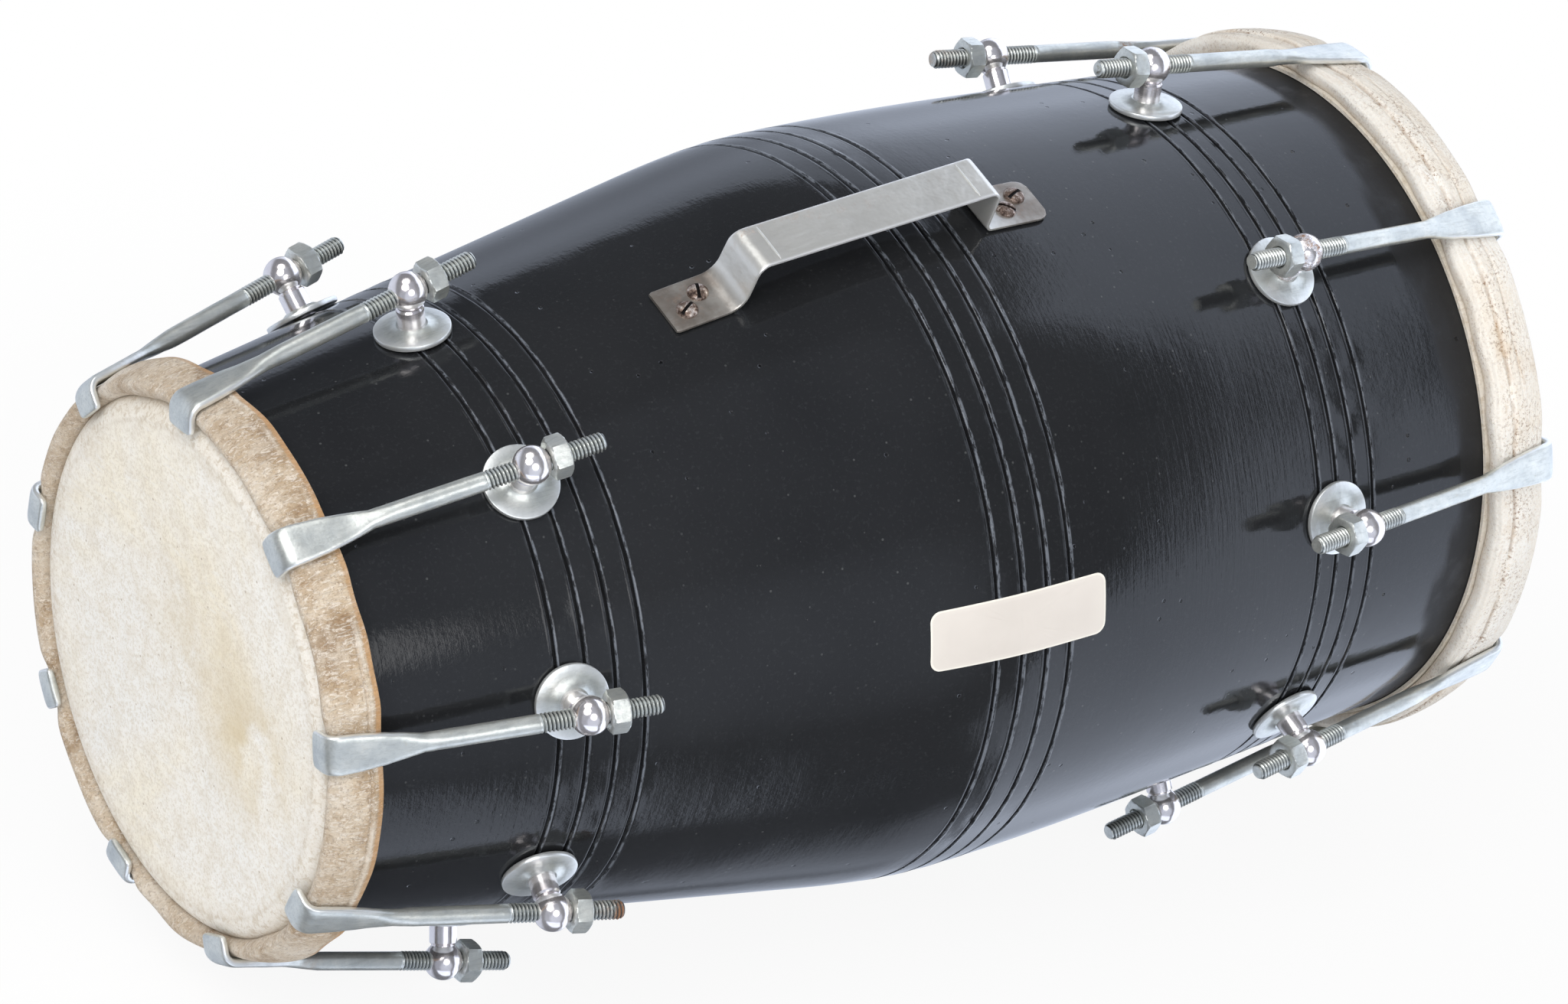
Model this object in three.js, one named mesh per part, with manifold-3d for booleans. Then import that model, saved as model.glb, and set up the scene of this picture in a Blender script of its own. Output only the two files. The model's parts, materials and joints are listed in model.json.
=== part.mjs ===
// Barrel drum with two heads, tuned by hooks, eye posts and nuts, lying on its side as it rests
// on a floor. Millimetres, +Z up. The drum's own axis runs along x, from the treble face to the
// bass face. Each head is built in a frame of its own: origin at the centre of its playing face,
// +X pointing into the drum (the depth) and +Z up, so that both heads share every function.
import * as THREE from "three";
import { mergeVertices } from "three/addons/utils/BufferGeometryUtils.js";
import Module from "manifold-3d";

const wasm = await Module();
wasm.setup();

const RADIANS = Math.PI / 180;
const HALF_TURN = Math.PI;
const QUARTER_TURN = Math.PI / 2;

// Clearances
const faceGap = 0.3;
const boreClearance = 0.3;
const innerWasherClearance = 0.6;
const cutOverrun = 1;
const weldDistance = 0.003;

// Barrel
const drumLength = 450;
const trebleMouthRadius = 84.6;
const coneEndDepth = 195;
const coneEndRadius = 118.4;
const bellyDepth = 241;
const bellyRadius = 123.5;
const bassMouthRadius = 112.6;
const bassMouthSlopeShare = -0.03;
const barrelWall = 10;
const mouthRounding = 7;
const barrelStaves = 36;
const barrelRings = 12;
const insideRings = 8;
const mouthArcSteps = 2;

// Turned grooves, in three sets
const grooveWidth = 2.6;
const grooveDepth = 1.2;
const groovesInSet = 4;
const grooveSets = [
  { centre: 90, spacing: 9.4 },
  { centre: 236.8, spacing: 9.3 },
  { centre: 366.8, spacing: 7.8 },
];

// Heads
const skinThickness = 1.2;
const skirtPastHoop = 1.5;
const pasteRadius = 55;
const pasteThickness = 3;
const hoopRounding = 2;
const hoopArcSteps = 2;

// Stations round each head
const stationCount = 9;
const stationAngle = (2 * Math.PI) / stationCount;
const restHalfAngle = stationAngle / 2;

// Eye post: ball on a stem, clamped through the wall between two washers
const ballRadius = 6.2;
const ballHeight = 15;
const stemRadius = 4.4;
const outerWasherRadius = 12.2;
const outerWasherThickness = 2;
const innerWasherRadius = 9;
const innerWasherThickness = 1.5;
const clampNutRadius = 7;
const clampNutThickness = 5;
const postTail = 3;
const postSides = 10;
const ballRings = 4;

// Hook: a threaded rod forged flat towards the head and bent over the hoop
const rodRadius = 3;
const rodTail = 24;
const rodSides = 10;
const bladeThickness = 3.2;
const bladeWidth = 12.8;
const bladePastHoop = 13;
const legLength = 10.2;
const bendRadius = 3.6;
const bendSteps = 4;

// Tuning nut
const nutAcrossFlats = 12;
const nutThickness = 6;
const hexSides = 6;

// Carrying handle: a bent strap on two feet, each held by two screws
const handleAngle = 18.6 * RADIANS;
const handleStart = 148.2;
const leftFootLength = 24.8;
const gripLength = 89.5;
const rightFootLength = 25;
const gripHeight = 16.5;
const strapThickness = 1.2;
const strapWidth = 18;
const strapBendRadius = 4;
const screwSpacing = 5;
const screwStagger = 6.6;
const screwInset = 10.4;
const screwHeadRadius = 3.5;
const screwHeadHeight = 1.8;
const screwSlotWidth = 0.9;
const screwSlotDepth = 0.8;
const screwShankRadius = 1.8;
const screwShankLength = 8;
const screwSides = 10;

// Each head's own sizes
const treble = {
  name: "treble",
  hoopWidth: 16,
  hoopFrontThickness: 5,
  lugDepth: 79.7,
  radiusAt: (depth) => barrelRadius(depth),
};
const bass = {
  name: "bass",
  hoopWidth: 21,
  hoopFrontThickness: 4,
  lugDepth: 88.5,
  radiusAt: (depth) => barrelRadius(drumLength - depth),
};

// Geometry helpers

// Outer radius of the barrel, grooves left out: a straight cone from the treble mouth, then two
// cubic arcs that meet at the belly.
function barrelRadius(x) {
  const coneSlope = (coneEndRadius - trebleMouthRadius) / coneEndDepth;
  if (x <= coneEndDepth) return trebleMouthRadius + coneSlope * x;
  if (x <= bellyDepth)
    return hermite(x, coneEndDepth, coneEndRadius, coneSlope, bellyDepth, bellyRadius, 0);
  return hermite(x, bellyDepth, bellyRadius, 0, drumLength, bassMouthRadius, bassMouthSlopeShare);
}

// Cubic from (x0, y0) with slope s0 to (x1, y1) with slope s1.
function hermite(x, x0, y0, s0, x1, y1, s1) {
  const span = x1 - x0;
  const t = (x - x0) / span;
  const rise = t * t * (3 - 2 * t);
  const leave = t * (1 - t) * (1 - t);
  const arrive = t * t * (t - 1);
  return y0 + (y1 - y0) * rise + span * (s0 * leave + s1 * arrive);
}

// Slope of the barrel under a post's washer.
function slopeUnderPost(head) {
  const before = head.radiusAt(head.lugDepth - outerWasherRadius);
  const after = head.radiusAt(head.lugDepth + outerWasherRadius);
  return (after - before) / (2 * outerWasherRadius);
}

// Points on a circular arc, both ends included.
function arc(centreX, centreY, radius, from, to, steps) {
  return Array.from({ length: steps + 1 }, (_, i) => {
    const angle = from + ((to - from) * i) / steps;
    return [centreX + radius * Math.cos(angle), centreY + radius * Math.sin(angle)];
  });
}

function signedArea(points) {
  return points.reduce((sum, [x, y], i) => {
    const [nextX, nextY] = points[(i + 1) % points.length];
    return sum + (x * nextY - nextX * y) / 2;
  }, 0);
}

// Solid of revolution about x from [depth, radius] points. The outline closes on itself, or
// starts and ends on the axis.
function revolved(outline, sides) {
  const loop = signedArea(outline) > 0 ? [...outline].reverse() : outline;
  const closing = loop[0][1] === 0 ? [] : [loop[0]];
  const profile = [...loop, ...closing].map(([depth, radius]) => new THREE.Vector2(radius, depth));
  return new THREE.LatheGeometry(profile, sides).rotateZ(-QUARTER_TURN);
}

// Corners of a closed outline, each turned into an arc of the given radius.
function roundedCorners(corners, radius, steps) {
  return corners.flatMap(([x, y], i) => {
    const corner = new THREE.Vector2(x, y);
    const before = new THREE.Vector2(...corners.at(i - 1)).sub(corner).normalize();
    const after = new THREE.Vector2(...corners[(i + 1) % corners.length]).sub(corner).normalize();
    const halfAngle = Math.acos(before.dot(after)) / 2;
    const middle = before.clone().add(after).normalize();
    const centre = corner.clone().addScaledVector(middle, radius / Math.sin(halfAngle));
    const setback = radius / Math.tan(halfAngle);
    const start = corner.clone().addScaledVector(before, setback).sub(centre).angle();
    const turn = corner.clone().addScaledVector(after, setback).sub(centre).angle() - start;
    const sweep = Math.atan2(Math.sin(turn), Math.cos(turn));
    return arc(centre.x, centre.y, radius, start, start + sweep, steps);
  });
}

// Outline of a strap of even thickness along a centre line whose inner corners are bent.
function strapOutline(centreLine, thickness, radius, steps) {
  const inner = centreLine.slice(1, -1).flatMap((corner, i) => {
    const triangle = [centreLine[i], corner, centreLine[i + 2]];
    return roundedCorners(triangle, radius, steps).slice(steps + 1, 2 * (steps + 1));
  });
  const line = [centreLine[0], ...inner, centreLine.at(-1)].map((p) => new THREE.Vector2(...p));
  const sides = line.map((point, i) => {
    const before = line[Math.max(i - 1, 0)];
    const after = line[Math.min(i + 1, line.length - 1)];
    const toNext = after.clone().sub(point).normalize();
    const toHere = point.clone().sub(before).normalize();
    const along = toNext.add(toHere).normalize();
    return new THREE.Vector2(-along.y, along.x).multiplyScalar(thickness / 2);
  });
  const left = line.map((point, i) => point.clone().add(sides[i]));
  const right = line.map((point, i) => point.clone().sub(sides[i])).reverse();
  return new THREE.Shape([...left, ...right]);
}

// Prism of an outline drawn in x and z, centred on y = 0.
function slab(shape, width) {
  return new THREE.ExtrudeGeometry(shape, { depth: width, bevelEnabled: false })
    .translate(0, 0, -width / 2)
    .rotateX(QUARTER_TURN);
}

// Cylinder or prism along x from start to end.
function bar(radius, start, end, sides) {
  return new THREE.CylinderGeometry(radius, radius, end - start, sides)
    .rotateZ(-QUARTER_TURN)
    .translate((start + end) / 2, 0, 0);
}

// Cylinder or prism along z from bottom to top.
function pillar(radius, bottom, top, sides) {
  return new THREE.CylinderGeometry(radius, radius, top - bottom, sides)
    .rotateX(QUARTER_TURN)
    .translate(0, 0, (bottom + top) / 2);
}

function solid(geometry) {
  const bare = geometry.clone();
  bare.deleteAttribute("normal");
  bare.deleteAttribute("uv");
  const merged = mergeVertices(bare, weldDistance);
  const corners = [];
  const index = merged.index.array;
  for (let i = 0; i < index.length; i += 3) {
    const [a, b, c] = index.subarray(i, i + 3);
    if (a !== b && b !== c && c !== a) corners.push(a, b, c);
  }
  const vertProperties = merged.attributes.position.array;
  return new wasm.Manifold(
    new wasm.Mesh({ numProp: 3, vertProperties, triVerts: new Uint32Array(corners) }),
  );
}

function geometryOf(manifold) {
  const { vertProperties, triVerts } = manifold.getMesh();
  return new THREE.BufferGeometry()
    .setAttribute("position", new THREE.BufferAttribute(vertProperties, 3))
    .setIndex(new THREE.BufferAttribute(triVerts, 1));
}

function named(name, geometry, material) {
  const mesh = new THREE.Mesh(geometry, material);
  mesh.name = name;
  return mesh;
}

// Materials
const blackLacquer = new THREE.MeshStandardMaterial({ color: 0x24262a, roughness: 0.3 });
const goatSkin = new THREE.MeshStandardMaterial({ color: 0xded2bf, roughness: 0.75 });
const trebleHide = new THREE.MeshStandardMaterial({ color: 0xb09a80, roughness: 0.9 });
const bassHide = new THREE.MeshStandardMaterial({ color: 0xd6cab4, roughness: 0.85 });
const zincPlate = new THREE.MeshStandardMaterial({ color: 0xaab2b6, roughness: 0.4, metalness: 1 });
const polishedSteel = new THREE.MeshStandardMaterial({
  color: 0xc6c4c2,
  roughness: 0.2,
  metalness: 1,
});
const stainlessSteel = new THREE.MeshStandardMaterial({
  color: 0xc2c2c0,
  roughness: 0.28,
  metalness: 1,
});

// Barrel

function grooveCentres() {
  return grooveSets.flatMap(({ centre, spacing }) =>
    Array.from({ length: groovesInSet }, (_, i) => centre + (i - (groovesInSet - 1) / 2) * spacing),
  );
}

// Outside of the barrel between two depths, as [depth, radius] points with the grooves cut in.
function barrelOutside(from, to) {
  const grooves = grooveCentres();
  const plain = Array.from({ length: barrelRings + 1 }, (_, i) => {
    const x = from + ((to - from) * i) / barrelRings;
    return [x, barrelRadius(x)];
  }).filter(([x]) => grooves.every((centre) => Math.abs(x - centre) > grooveWidth));
  const cuts = grooves.flatMap((centre) => [
    [centre - grooveWidth / 2, barrelRadius(centre - grooveWidth / 2)],
    [centre, barrelRadius(centre) - grooveDepth],
    [centre + grooveWidth / 2, barrelRadius(centre + grooveWidth / 2)],
  ]);
  return [...plain, ...cuts].sort((a, b) => a[0] - b[0]);
}

// Depth at which the wood starts behind a playing face.
const mouthDepth = skinThickness + faceGap;

// Centre and depth of the rounded bearing edge, in a head's own frame.
function bearingEdge(head) {
  const depth = mouthDepth + mouthRounding;
  return { depth, radius: head.radiusAt(depth) - mouthRounding };
}

function barrel() {
  const trebleEdge = bearingEdge(treble);
  const bassEdge = bearingEdge(bass);
  const bassEdgeX = drumLength - bassEdge.depth;
  const inside = Array.from({ length: insideRings + 1 }, (_, i) => {
    const x = mouthDepth + ((drumLength - 2 * mouthDepth) * i) / insideRings;
    return [x, barrelRadius(x) - barrelWall];
  }).reverse();
  const outline = [
    ...arc(trebleEdge.depth, trebleEdge.radius, mouthRounding, Math.PI, QUARTER_TURN, mouthArcSteps),
    ...barrelOutside(trebleEdge.depth, bassEdgeX).slice(1, -1),
    ...arc(bassEdgeX, bassEdge.radius, mouthRounding, QUARTER_TURN, 0, mouthArcSteps),
    ...inside,
  ];
  let wood = solid(revolved(outline, barrelStaves));
  for (const head of [treble, bass])
    for (let i = 0; i < stationCount; i += 1) wood = wood.subtract(postHole(head, i));
  for (const foot of handleFeet())
    for (const screw of screwPlaces(foot)) wood = wood.subtract(screwHole(foot, screw));
  return named("barrel_shell", geometryOf(wood), blackLacquer);
}

function postHole(head, station) {
  const hole = pillar(
    stemRadius + boreClearance,
    -barrelWall - innerWasherRadius,
    outerWasherRadius,
    postSides,
  );
  const place = new THREE.Matrix4()
    .multiply(headMatrix(head))
    .multiply(stationMatrix(head, station))
    .multiply(postMatrix(head));
  return solid(hole.applyMatrix4(place));
}

// Frames

function headMatrix(head) {
  if (head === treble) return new THREE.Matrix4();
  return new THREE.Matrix4()
    .makeTranslation(drumLength, 0, 0)
    .multiply(new THREE.Matrix4().makeRotationZ(HALF_TURN));
}

// Turn of a station about the drum's axis, counted from the top towards -Y on both heads.
function stationTurn(head, station) {
  const side = head === treble ? 1 : -1;
  return side * station * stationAngle;
}

function stationMatrix(head, station) {
  return new THREE.Matrix4().makeRotationX(stationTurn(head, station));
}

// Foot of an eye post on the barrel, its z axis square to the barrel's surface.
function postMatrix(head) {
  const lean = Math.atan(slopeUnderPost(head));
  return new THREE.Matrix4()
    .makeTranslation(head.lugDepth, 0, head.radiusAt(head.lugDepth))
    .multiply(new THREE.Matrix4().makeRotationY(-lean));
}

function ballCentre(head) {
  const centre = new THREE.Vector3(0, 0, ballHeight).applyMatrix4(postMatrix(head));
  return { depth: centre.x, radius: centre.z };
}

// Outer radius of the hoop where it faces the player.
function hoopFrontRadius(head) {
  return skirtRadius(head, 0) + faceGap + head.hoopFrontThickness;
}

// Slope of a hook's rod against the drum's axis: its blade lies along the hoop's outside.
function hookSlope(head) {
  const ball = ballCentre(head);
  const rise = ball.radius - hoopFrontRadius(head);
  const standOff = bladeThickness / 2 + faceGap;
  return Math.atan2(rise, ball.depth) - Math.asin(standOff / Math.hypot(ball.depth, rise));
}

// Ball centre, x along the rod away from the head.
function rodMatrix(head) {
  const ball = ballCentre(head);
  return new THREE.Matrix4()
    .makeTranslation(ball.depth, 0, ball.radius)
    .multiply(new THREE.Matrix4().makeRotationY(-hookSlope(head)));
}

// Heads

// Outer radius of the skin where it lies down the barrel's side.
function skirtRadius(head, depth) {
  return head.radiusAt(depth) + faceGap + skinThickness;
}

// Skin stretched over the bearing edge and down the side, out to just past the hoop. The bass
// skin carries a low mound of tuning paste on its inner face.
function headSkin(head) {
  const edge = bearingEdge(head);
  const skirtEnd = head.hoopWidth + skirtPastHoop;
  const outerArc = mouthRounding + faceGap + skinThickness;
  const innerArc = mouthRounding + faceGap;
  const underside =
    head === bass
      ? [
          [skinThickness, pasteRadius],
          [skinThickness + pasteThickness, pasteRadius - pasteThickness],
          [skinThickness + pasteThickness, 0],
        ]
      : [[skinThickness, 0]];
  const outline = [
    [0, 0],
    ...arc(edge.depth, edge.radius, outerArc, Math.PI, QUARTER_TURN, mouthArcSteps),
    [skirtEnd, skirtRadius(head, skirtEnd)],
    [skirtEnd, head.radiusAt(skirtEnd) + faceGap],
    ...arc(edge.depth, edge.radius, innerArc, QUARTER_TURN, Math.PI, mouthArcSteps),
    ...underside,
  ];
  return named(`${head.name}_skin`, geometryOf(solid(revolved(outline, barrelStaves))), goatSkin);
}

// Hide-wrapped hoop that the hooks draw down round the head.
function headHoop(head) {
  const frontOuter = hoopFrontRadius(head);
  const rearOuter = frontOuter + head.hoopWidth * Math.tan(hookSlope(head));
  const rearInner = skirtRadius(head, head.hoopWidth) + faceGap;
  const frontInner = skirtRadius(head, 0) + faceGap;
  const corners = [
    [0, frontInner],
    [head.hoopWidth, rearInner],
    [head.hoopWidth, rearOuter],
    [0, frontOuter],
  ];
  const outline = roundedCorners(corners, hoopRounding, hoopArcSteps);
  const hide = head === bass ? bassHide : trebleHide;
  return named(`${head.name}_hoop`, revolved(outline, barrelStaves), hide);
}

// Eye post in its own frame: z = 0 is the barrel's surface, the ball is above it.
function eyePost(head) {
  // The wall's inner face closes in on a washer's edge, because it is hollow.
  const hollowDrop = innerWasherRadius * Math.tan(HALF_TURN / barrelStaves);
  const washerTop = -barrelWall - hollowDrop - innerWasherClearance;
  const washerBottom = washerTop - innerWasherThickness;
  const nutBottom = washerBottom - clampNutThickness;
  const neckAngle = Math.asin(stemRadius / ballRadius);
  const ball = arc(ballHeight, 0, ballRadius, 0, Math.PI - neckAngle, ballRings);
  const outline = [
    ...ball,
    [outerWasherThickness + faceGap, stemRadius],
    [outerWasherThickness + faceGap, outerWasherRadius],
    [faceGap, outerWasherRadius],
    [faceGap, stemRadius],
    [washerTop, stemRadius],
    [washerTop, innerWasherRadius],
    [washerBottom, innerWasherRadius],
    [washerBottom, stemRadius],
    [nutBottom - postTail, stemRadius],
    [nutBottom - postTail, 0],
  ];
  const turned = revolved(outline, postSides).rotateY(-QUARTER_TURN);
  const clampNut = pillar(clampNutRadius, nutBottom, washerBottom, hexSides);
  const toRod = postMatrix(head).invert().multiply(rodMatrix(head));
  const reach = ballRadius + cutOverrun;
  const eye = bar(rodRadius + boreClearance, -reach, reach, postSides).applyMatrix4(toRod);
  return geometryOf(solid(turned).add(solid(clampNut)).subtract(solid(eye)));
}

// Hook in the rod's frame: its free end at +X, its bent blade at -X over the hoop.
function tuningHook(head) {
  const slope = hookSlope(head);
  const ball = ballCentre(head);
  const legMiddle = -(faceGap + bladeThickness / 2);
  const cornerX = -(ball.depth - legMiddle) / Math.cos(slope);
  const bladeStart = cornerX + head.hoopWidth + bladePastHoop;
  const legReach = legLength - bladeThickness / 2;
  const legEnd = [cornerX - legReach * Math.sin(slope), -legReach * Math.cos(slope)];
  const side = strapOutline(
    [[bladeStart, 0], [cornerX, 0], legEnd],
    bladeThickness,
    bendRadius,
    bendSteps,
  );
  const tip = legEnd[0] - bladeThickness;
  const plan = new THREE.Shape([
    new THREE.Vector2(bladeStart, -rodRadius),
    new THREE.Vector2(bladeStart, rodRadius),
    new THREE.Vector2(cornerX, bladeWidth / 2),
    new THREE.Vector2(tip, bladeWidth / 2),
    new THREE.Vector2(tip, -bladeWidth / 2),
    new THREE.Vector2(cornerX, -bladeWidth / 2),
  ]);
  const height = 2 * legLength;
  const outlineCut = new THREE.ExtrudeGeometry(plan, { depth: 2 * height, bevelEnabled: false });
  const blade = solid(slab(side, bladeWidth)).intersect(solid(outlineCut.translate(0, 0, -height)));
  const rod = bar(rodRadius, bladeStart - bladeThickness, rodTail, rodSides);
  return geometryOf(blade.add(solid(rod)));
}

// Distance from the ball's centre to the nut that bears on the rim of its hole.
function nutSeat() {
  return Math.sqrt(ballRadius ** 2 - (rodRadius + boreClearance) ** 2) + faceGap;
}

// Nut on the side of the ball away from the head.
function tuningNut() {
  const seat = nutSeat();
  const cornerRadius = nutAcrossFlats / 2 / Math.cos(HALF_TURN / hexSides);
  const body = bar(cornerRadius, seat, seat + nutThickness, hexSides);
  const bore = bar(
    rodRadius + boreClearance,
    seat - cutOverrun,
    seat + nutThickness + cutOverrun,
    postSides,
  );
  return geometryOf(solid(body).subtract(solid(bore)));
}

function placed(mesh, matrix) {
  mesh.applyMatrix4(matrix);
  return mesh;
}

function headAssembly(head) {
  const group = new THREE.Group();
  group.applyMatrix4(headMatrix(head));
  group.add(headSkin(head), headHoop(head));
  const post = eyePost(head);
  const hook = tuningHook(head);
  const nut = tuningNut();
  for (let i = 0; i < stationCount; i += 1) {
    const station = new THREE.Group();
    station.rotation.x = stationTurn(head, i);
    // Each nut stands with a flat level, whatever its station.
    const level = new THREE.Matrix4().makeRotationX(HALF_TURN / hexSides - stationTurn(head, i));
    station.add(
      placed(named(`${head.name}_lug_${i + 1}`, post, polishedSteel), postMatrix(head)),
      placed(named(`${head.name}_hook_${i + 1}`, hook, zincPlate), rodMatrix(head)),
      placed(named(`${head.name}_nut_${i + 1}`, nut, zincPlate), rodMatrix(head).multiply(level)),
    );
    group.add(station);
  }
  return group;
}

// Carrying handle

// Two feet in the handle's own plane, each with its ends on the barrel and its slope.
function handleFeet() {
  const rightStart = handleStart + leftFootLength + gripLength;
  return [
    { from: handleStart, to: handleStart + leftFootLength, outerEnd: handleStart, inward: 1 },
    {
      from: rightStart,
      to: rightStart + rightFootLength,
      outerEnd: rightStart + rightFootLength,
      inward: -1,
    },
  ];
}

function footPoint(x) {
  const lift = faceGap + strapThickness / 2;
  return [x, barrelRadius(x) + lift];
}

// Screw seats on a foot: depth along the drum and sideways offset.
function screwPlaces(foot) {
  const x = foot.outerEnd + foot.inward * screwInset;
  return [-1, 1].map((side) => ({
    x: x + (side * screwStagger) / 2,
    y: (side * screwSpacing) / 2,
  }));
}

function screwMatrix(foot, { x, y }) {
  const rise = barrelRadius(foot.to) - barrelRadius(foot.from);
  const tilt = Math.atan2(rise, foot.to - foot.from);
  return new THREE.Matrix4()
    .makeTranslation(x, y, footPoint(x)[1])
    .multiply(new THREE.Matrix4().makeRotationY(-tilt));
}

function screwHole(foot, place) {
  const shank = pillar(
    screwShankRadius + boreClearance,
    -screwShankLength - faceGap,
    screwShankLength,
    screwSides,
  );
  const turn = new THREE.Matrix4().makeRotationX(handleAngle);
  return solid(shank.applyMatrix4(turn.multiply(screwMatrix(foot, place))));
}

function slottedScrew(foot, place) {
  const top = strapThickness / 2 + screwHeadHeight;
  const head = solid(pillar(screwHeadRadius, 0, top, screwSides));
  const shank = solid(pillar(screwShankRadius, -screwShankLength, faceGap, screwSides));
  const slot = new THREE.BoxGeometry(2 * screwHeadRadius, screwSlotWidth, 2 * screwSlotDepth);
  const screw = head.add(shank).subtract(solid(slot.translate(0, 0, top)));
  return solid(geometryOf(screw).applyMatrix4(screwMatrix(foot, place)));
}

function carryHandle() {
  const [left, right] = handleFeet();
  const centreLine = [
    footPoint(left.from),
    footPoint(left.to),
    [left.to, barrelRadius(left.to) + gripHeight],
    [right.from, barrelRadius(right.from) + gripHeight],
    footPoint(right.from),
    footPoint(right.to),
  ];
  const outline = strapOutline(centreLine, strapThickness, strapBendRadius, bendSteps);
  let handle = solid(slab(outline, strapWidth));
  for (const foot of [left, right])
    for (const place of screwPlaces(foot)) handle = handle.add(slottedScrew(foot, place));
  const mesh = named("carry_handle", geometryOf(handle), stainlessSteel);
  mesh.rotation.x = handleAngle;
  return mesh;
}

// Assembly

// How far a head's lowest piece reaches below the drum's axis when two stations share the load:
// the rod's free end or the nut's level flat, whichever is lower.
function supportBelow(head) {
  const slope = hookSlope(head);
  const ball = ballCentre(head);
  const share = Math.cos(restHalfAngle);
  const candidates = [
    { along: rodTail, drop: rodRadius },
    { along: nutSeat() + nutThickness, drop: nutAcrossFlats / 2 },
  ].map(({ along, drop }) => ({
    depth: ball.depth + along * Math.cos(slope),
    reach: (ball.radius + along * Math.sin(slope)) * share + drop,
  }));
  return candidates.reduce((low, next) => (next.reach > low.reach ? next : low));
}

const drum = new THREE.Group();
drum.add(barrel(), headAssembly(treble), headAssembly(bass), carryHandle());

// The thinner treble end rests lower, so the axis climbs towards the bass.
const trebleRest = supportBelow(treble);
const bassRest = supportBelow(bass);
drum.rotation.y = -Math.atan2(
  bassRest.reach - trebleRest.reach,
  drumLength - bassRest.depth - trebleRest.depth,
);
drum.updateMatrixWorld(true);

// Origin under the middle of the whole drum, on the floor it rests on.
const bounds = new THREE.Box3().setFromObject(drum, true);
const middle = bounds.getCenter(new THREE.Vector3());
drum.position.set(-middle.x, -middle.y, -bounds.min.z);

const part = new THREE.Group();
part.add(drum);

export default part;
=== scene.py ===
import json
import math

import bpy
import numpy as np
from mathutils import Euler, Matrix, Vector

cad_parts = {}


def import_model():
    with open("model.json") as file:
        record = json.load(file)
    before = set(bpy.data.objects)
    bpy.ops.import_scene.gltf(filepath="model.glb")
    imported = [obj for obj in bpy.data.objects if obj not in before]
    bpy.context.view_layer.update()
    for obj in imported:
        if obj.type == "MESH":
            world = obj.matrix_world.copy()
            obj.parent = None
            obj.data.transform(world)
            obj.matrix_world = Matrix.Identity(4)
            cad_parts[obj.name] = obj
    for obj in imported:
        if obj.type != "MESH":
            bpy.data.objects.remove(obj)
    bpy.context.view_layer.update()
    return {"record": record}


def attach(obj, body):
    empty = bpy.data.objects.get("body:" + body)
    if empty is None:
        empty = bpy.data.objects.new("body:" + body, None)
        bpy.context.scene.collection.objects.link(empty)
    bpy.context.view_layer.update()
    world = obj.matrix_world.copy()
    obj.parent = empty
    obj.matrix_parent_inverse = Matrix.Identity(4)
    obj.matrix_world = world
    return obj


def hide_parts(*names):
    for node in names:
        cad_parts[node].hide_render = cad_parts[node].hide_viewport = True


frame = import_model()

# Shapes are made in the drum's own frame, in millimetres: x from the treble face to the bass
# face, z up, y away from the camera. A station's turn is counted from the top towards -y.

LENGTH = 450
TREBLE_MOUTH_RADIUS = 84.6
CONE_END, CONE_END_RADIUS = 195, 118.4
BELLY, BELLY_RADIUS = 241, 123.5
BASS_MOUTH_RADIUS, BASS_MOUTH_SLOPE = 112.6, -0.03
GROOVE_SETS = ((90, 9.4), (236.8, 9.3), (366.8, 7.8))
GROOVES = [centre + (i - 1.5) * spacing for centre, spacing in GROOVE_SETS for i in range(4)]
GROOVE_SHAPE = (
    (0.0, 1.0), (0.25, 0.8), (0.48, 0.35), (0.7, 0.03), (1.0, -0.08), (1.5, 0.0), (1.9, 0.0)
)
STATIONS = 9
WALL = 10
MOUTH_ROUNDING = 7
SKIN = 1.2
GAP = 0.3
BALL_RADIUS = 6.2
BALL_HEIGHT = 15
STEM_RADIUS = 4.4
CROSS_HOLE = 3.3
WASHER_RADIUS = 12.2
NUT_ACROSS, NUT_LENGTH = 12, 6
CLAMP_ACROSS, CLAMP_LENGTH = 14, 5
ROD_RADIUS = 3
ROD_TAIL = 24
BLADE_THICKNESS = 3.2
BLADE_WIDTH = 12.8
BLADE_PAST_HOOP = 13
LEG_LENGTH = 10.2
BEND_RADIUS = 4.3
THREAD_PITCH = 1.27
THREAD_CREST = 3.14
THREAD_DEPTH = 0.68
HANDLE_ANGLE = math.radians(18.6)
HANDLE_START = 148.2
HANDLE_END = 287.5
GRIP_RISE = 16.5
STRAP_WIDTH = 18.2
STRAP_THICKNESS = 1.2

# What single stations show in the photograph, by head and station from 0: a twist in
# degrees, or a share of rust. NIBBED_RODS end in a narrow nib.
BENT_BLADES = {("treble", 2): 4.0}
RUSTY_THREADS = {("treble", 3): 1.0, ("treble", 5): 0.9, ("bass", 8): 0.45}
RUSTY_BLADES = {("bass", 8): 0.9, ("treble", 4): 0.25}
RUSTY_BALLS = {("bass", 1): 1.0, ("bass", 0): 0.15}
NIBBED_RODS = {("bass", 0), ("bass", 7), ("treble", 6)}

CAMERA_PLACE = (-949.98, -1581.67, 1030.25)
CAMERA_TURN = (62.4297, -3.8743, -34.6238)
FOCAL_PIXELS = 8919.676
PHOTO_WIDTH = 2048
SENSOR_WIDTH = 36
ROOM_GLOW = 0.11


# Frames and numbers

def move(x=0.0, y=0.0, z=0.0):
    m = np.eye(4)
    m[:3, 3] = (x, y, z)
    return m


def turn(axis, angle):
    return np.array(Matrix.Rotation(angle, 4, axis))


def apply(matrix, points):
    points = np.asarray(points, float)
    return points @ matrix[:3, :3].T + matrix[:3, 3]


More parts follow.
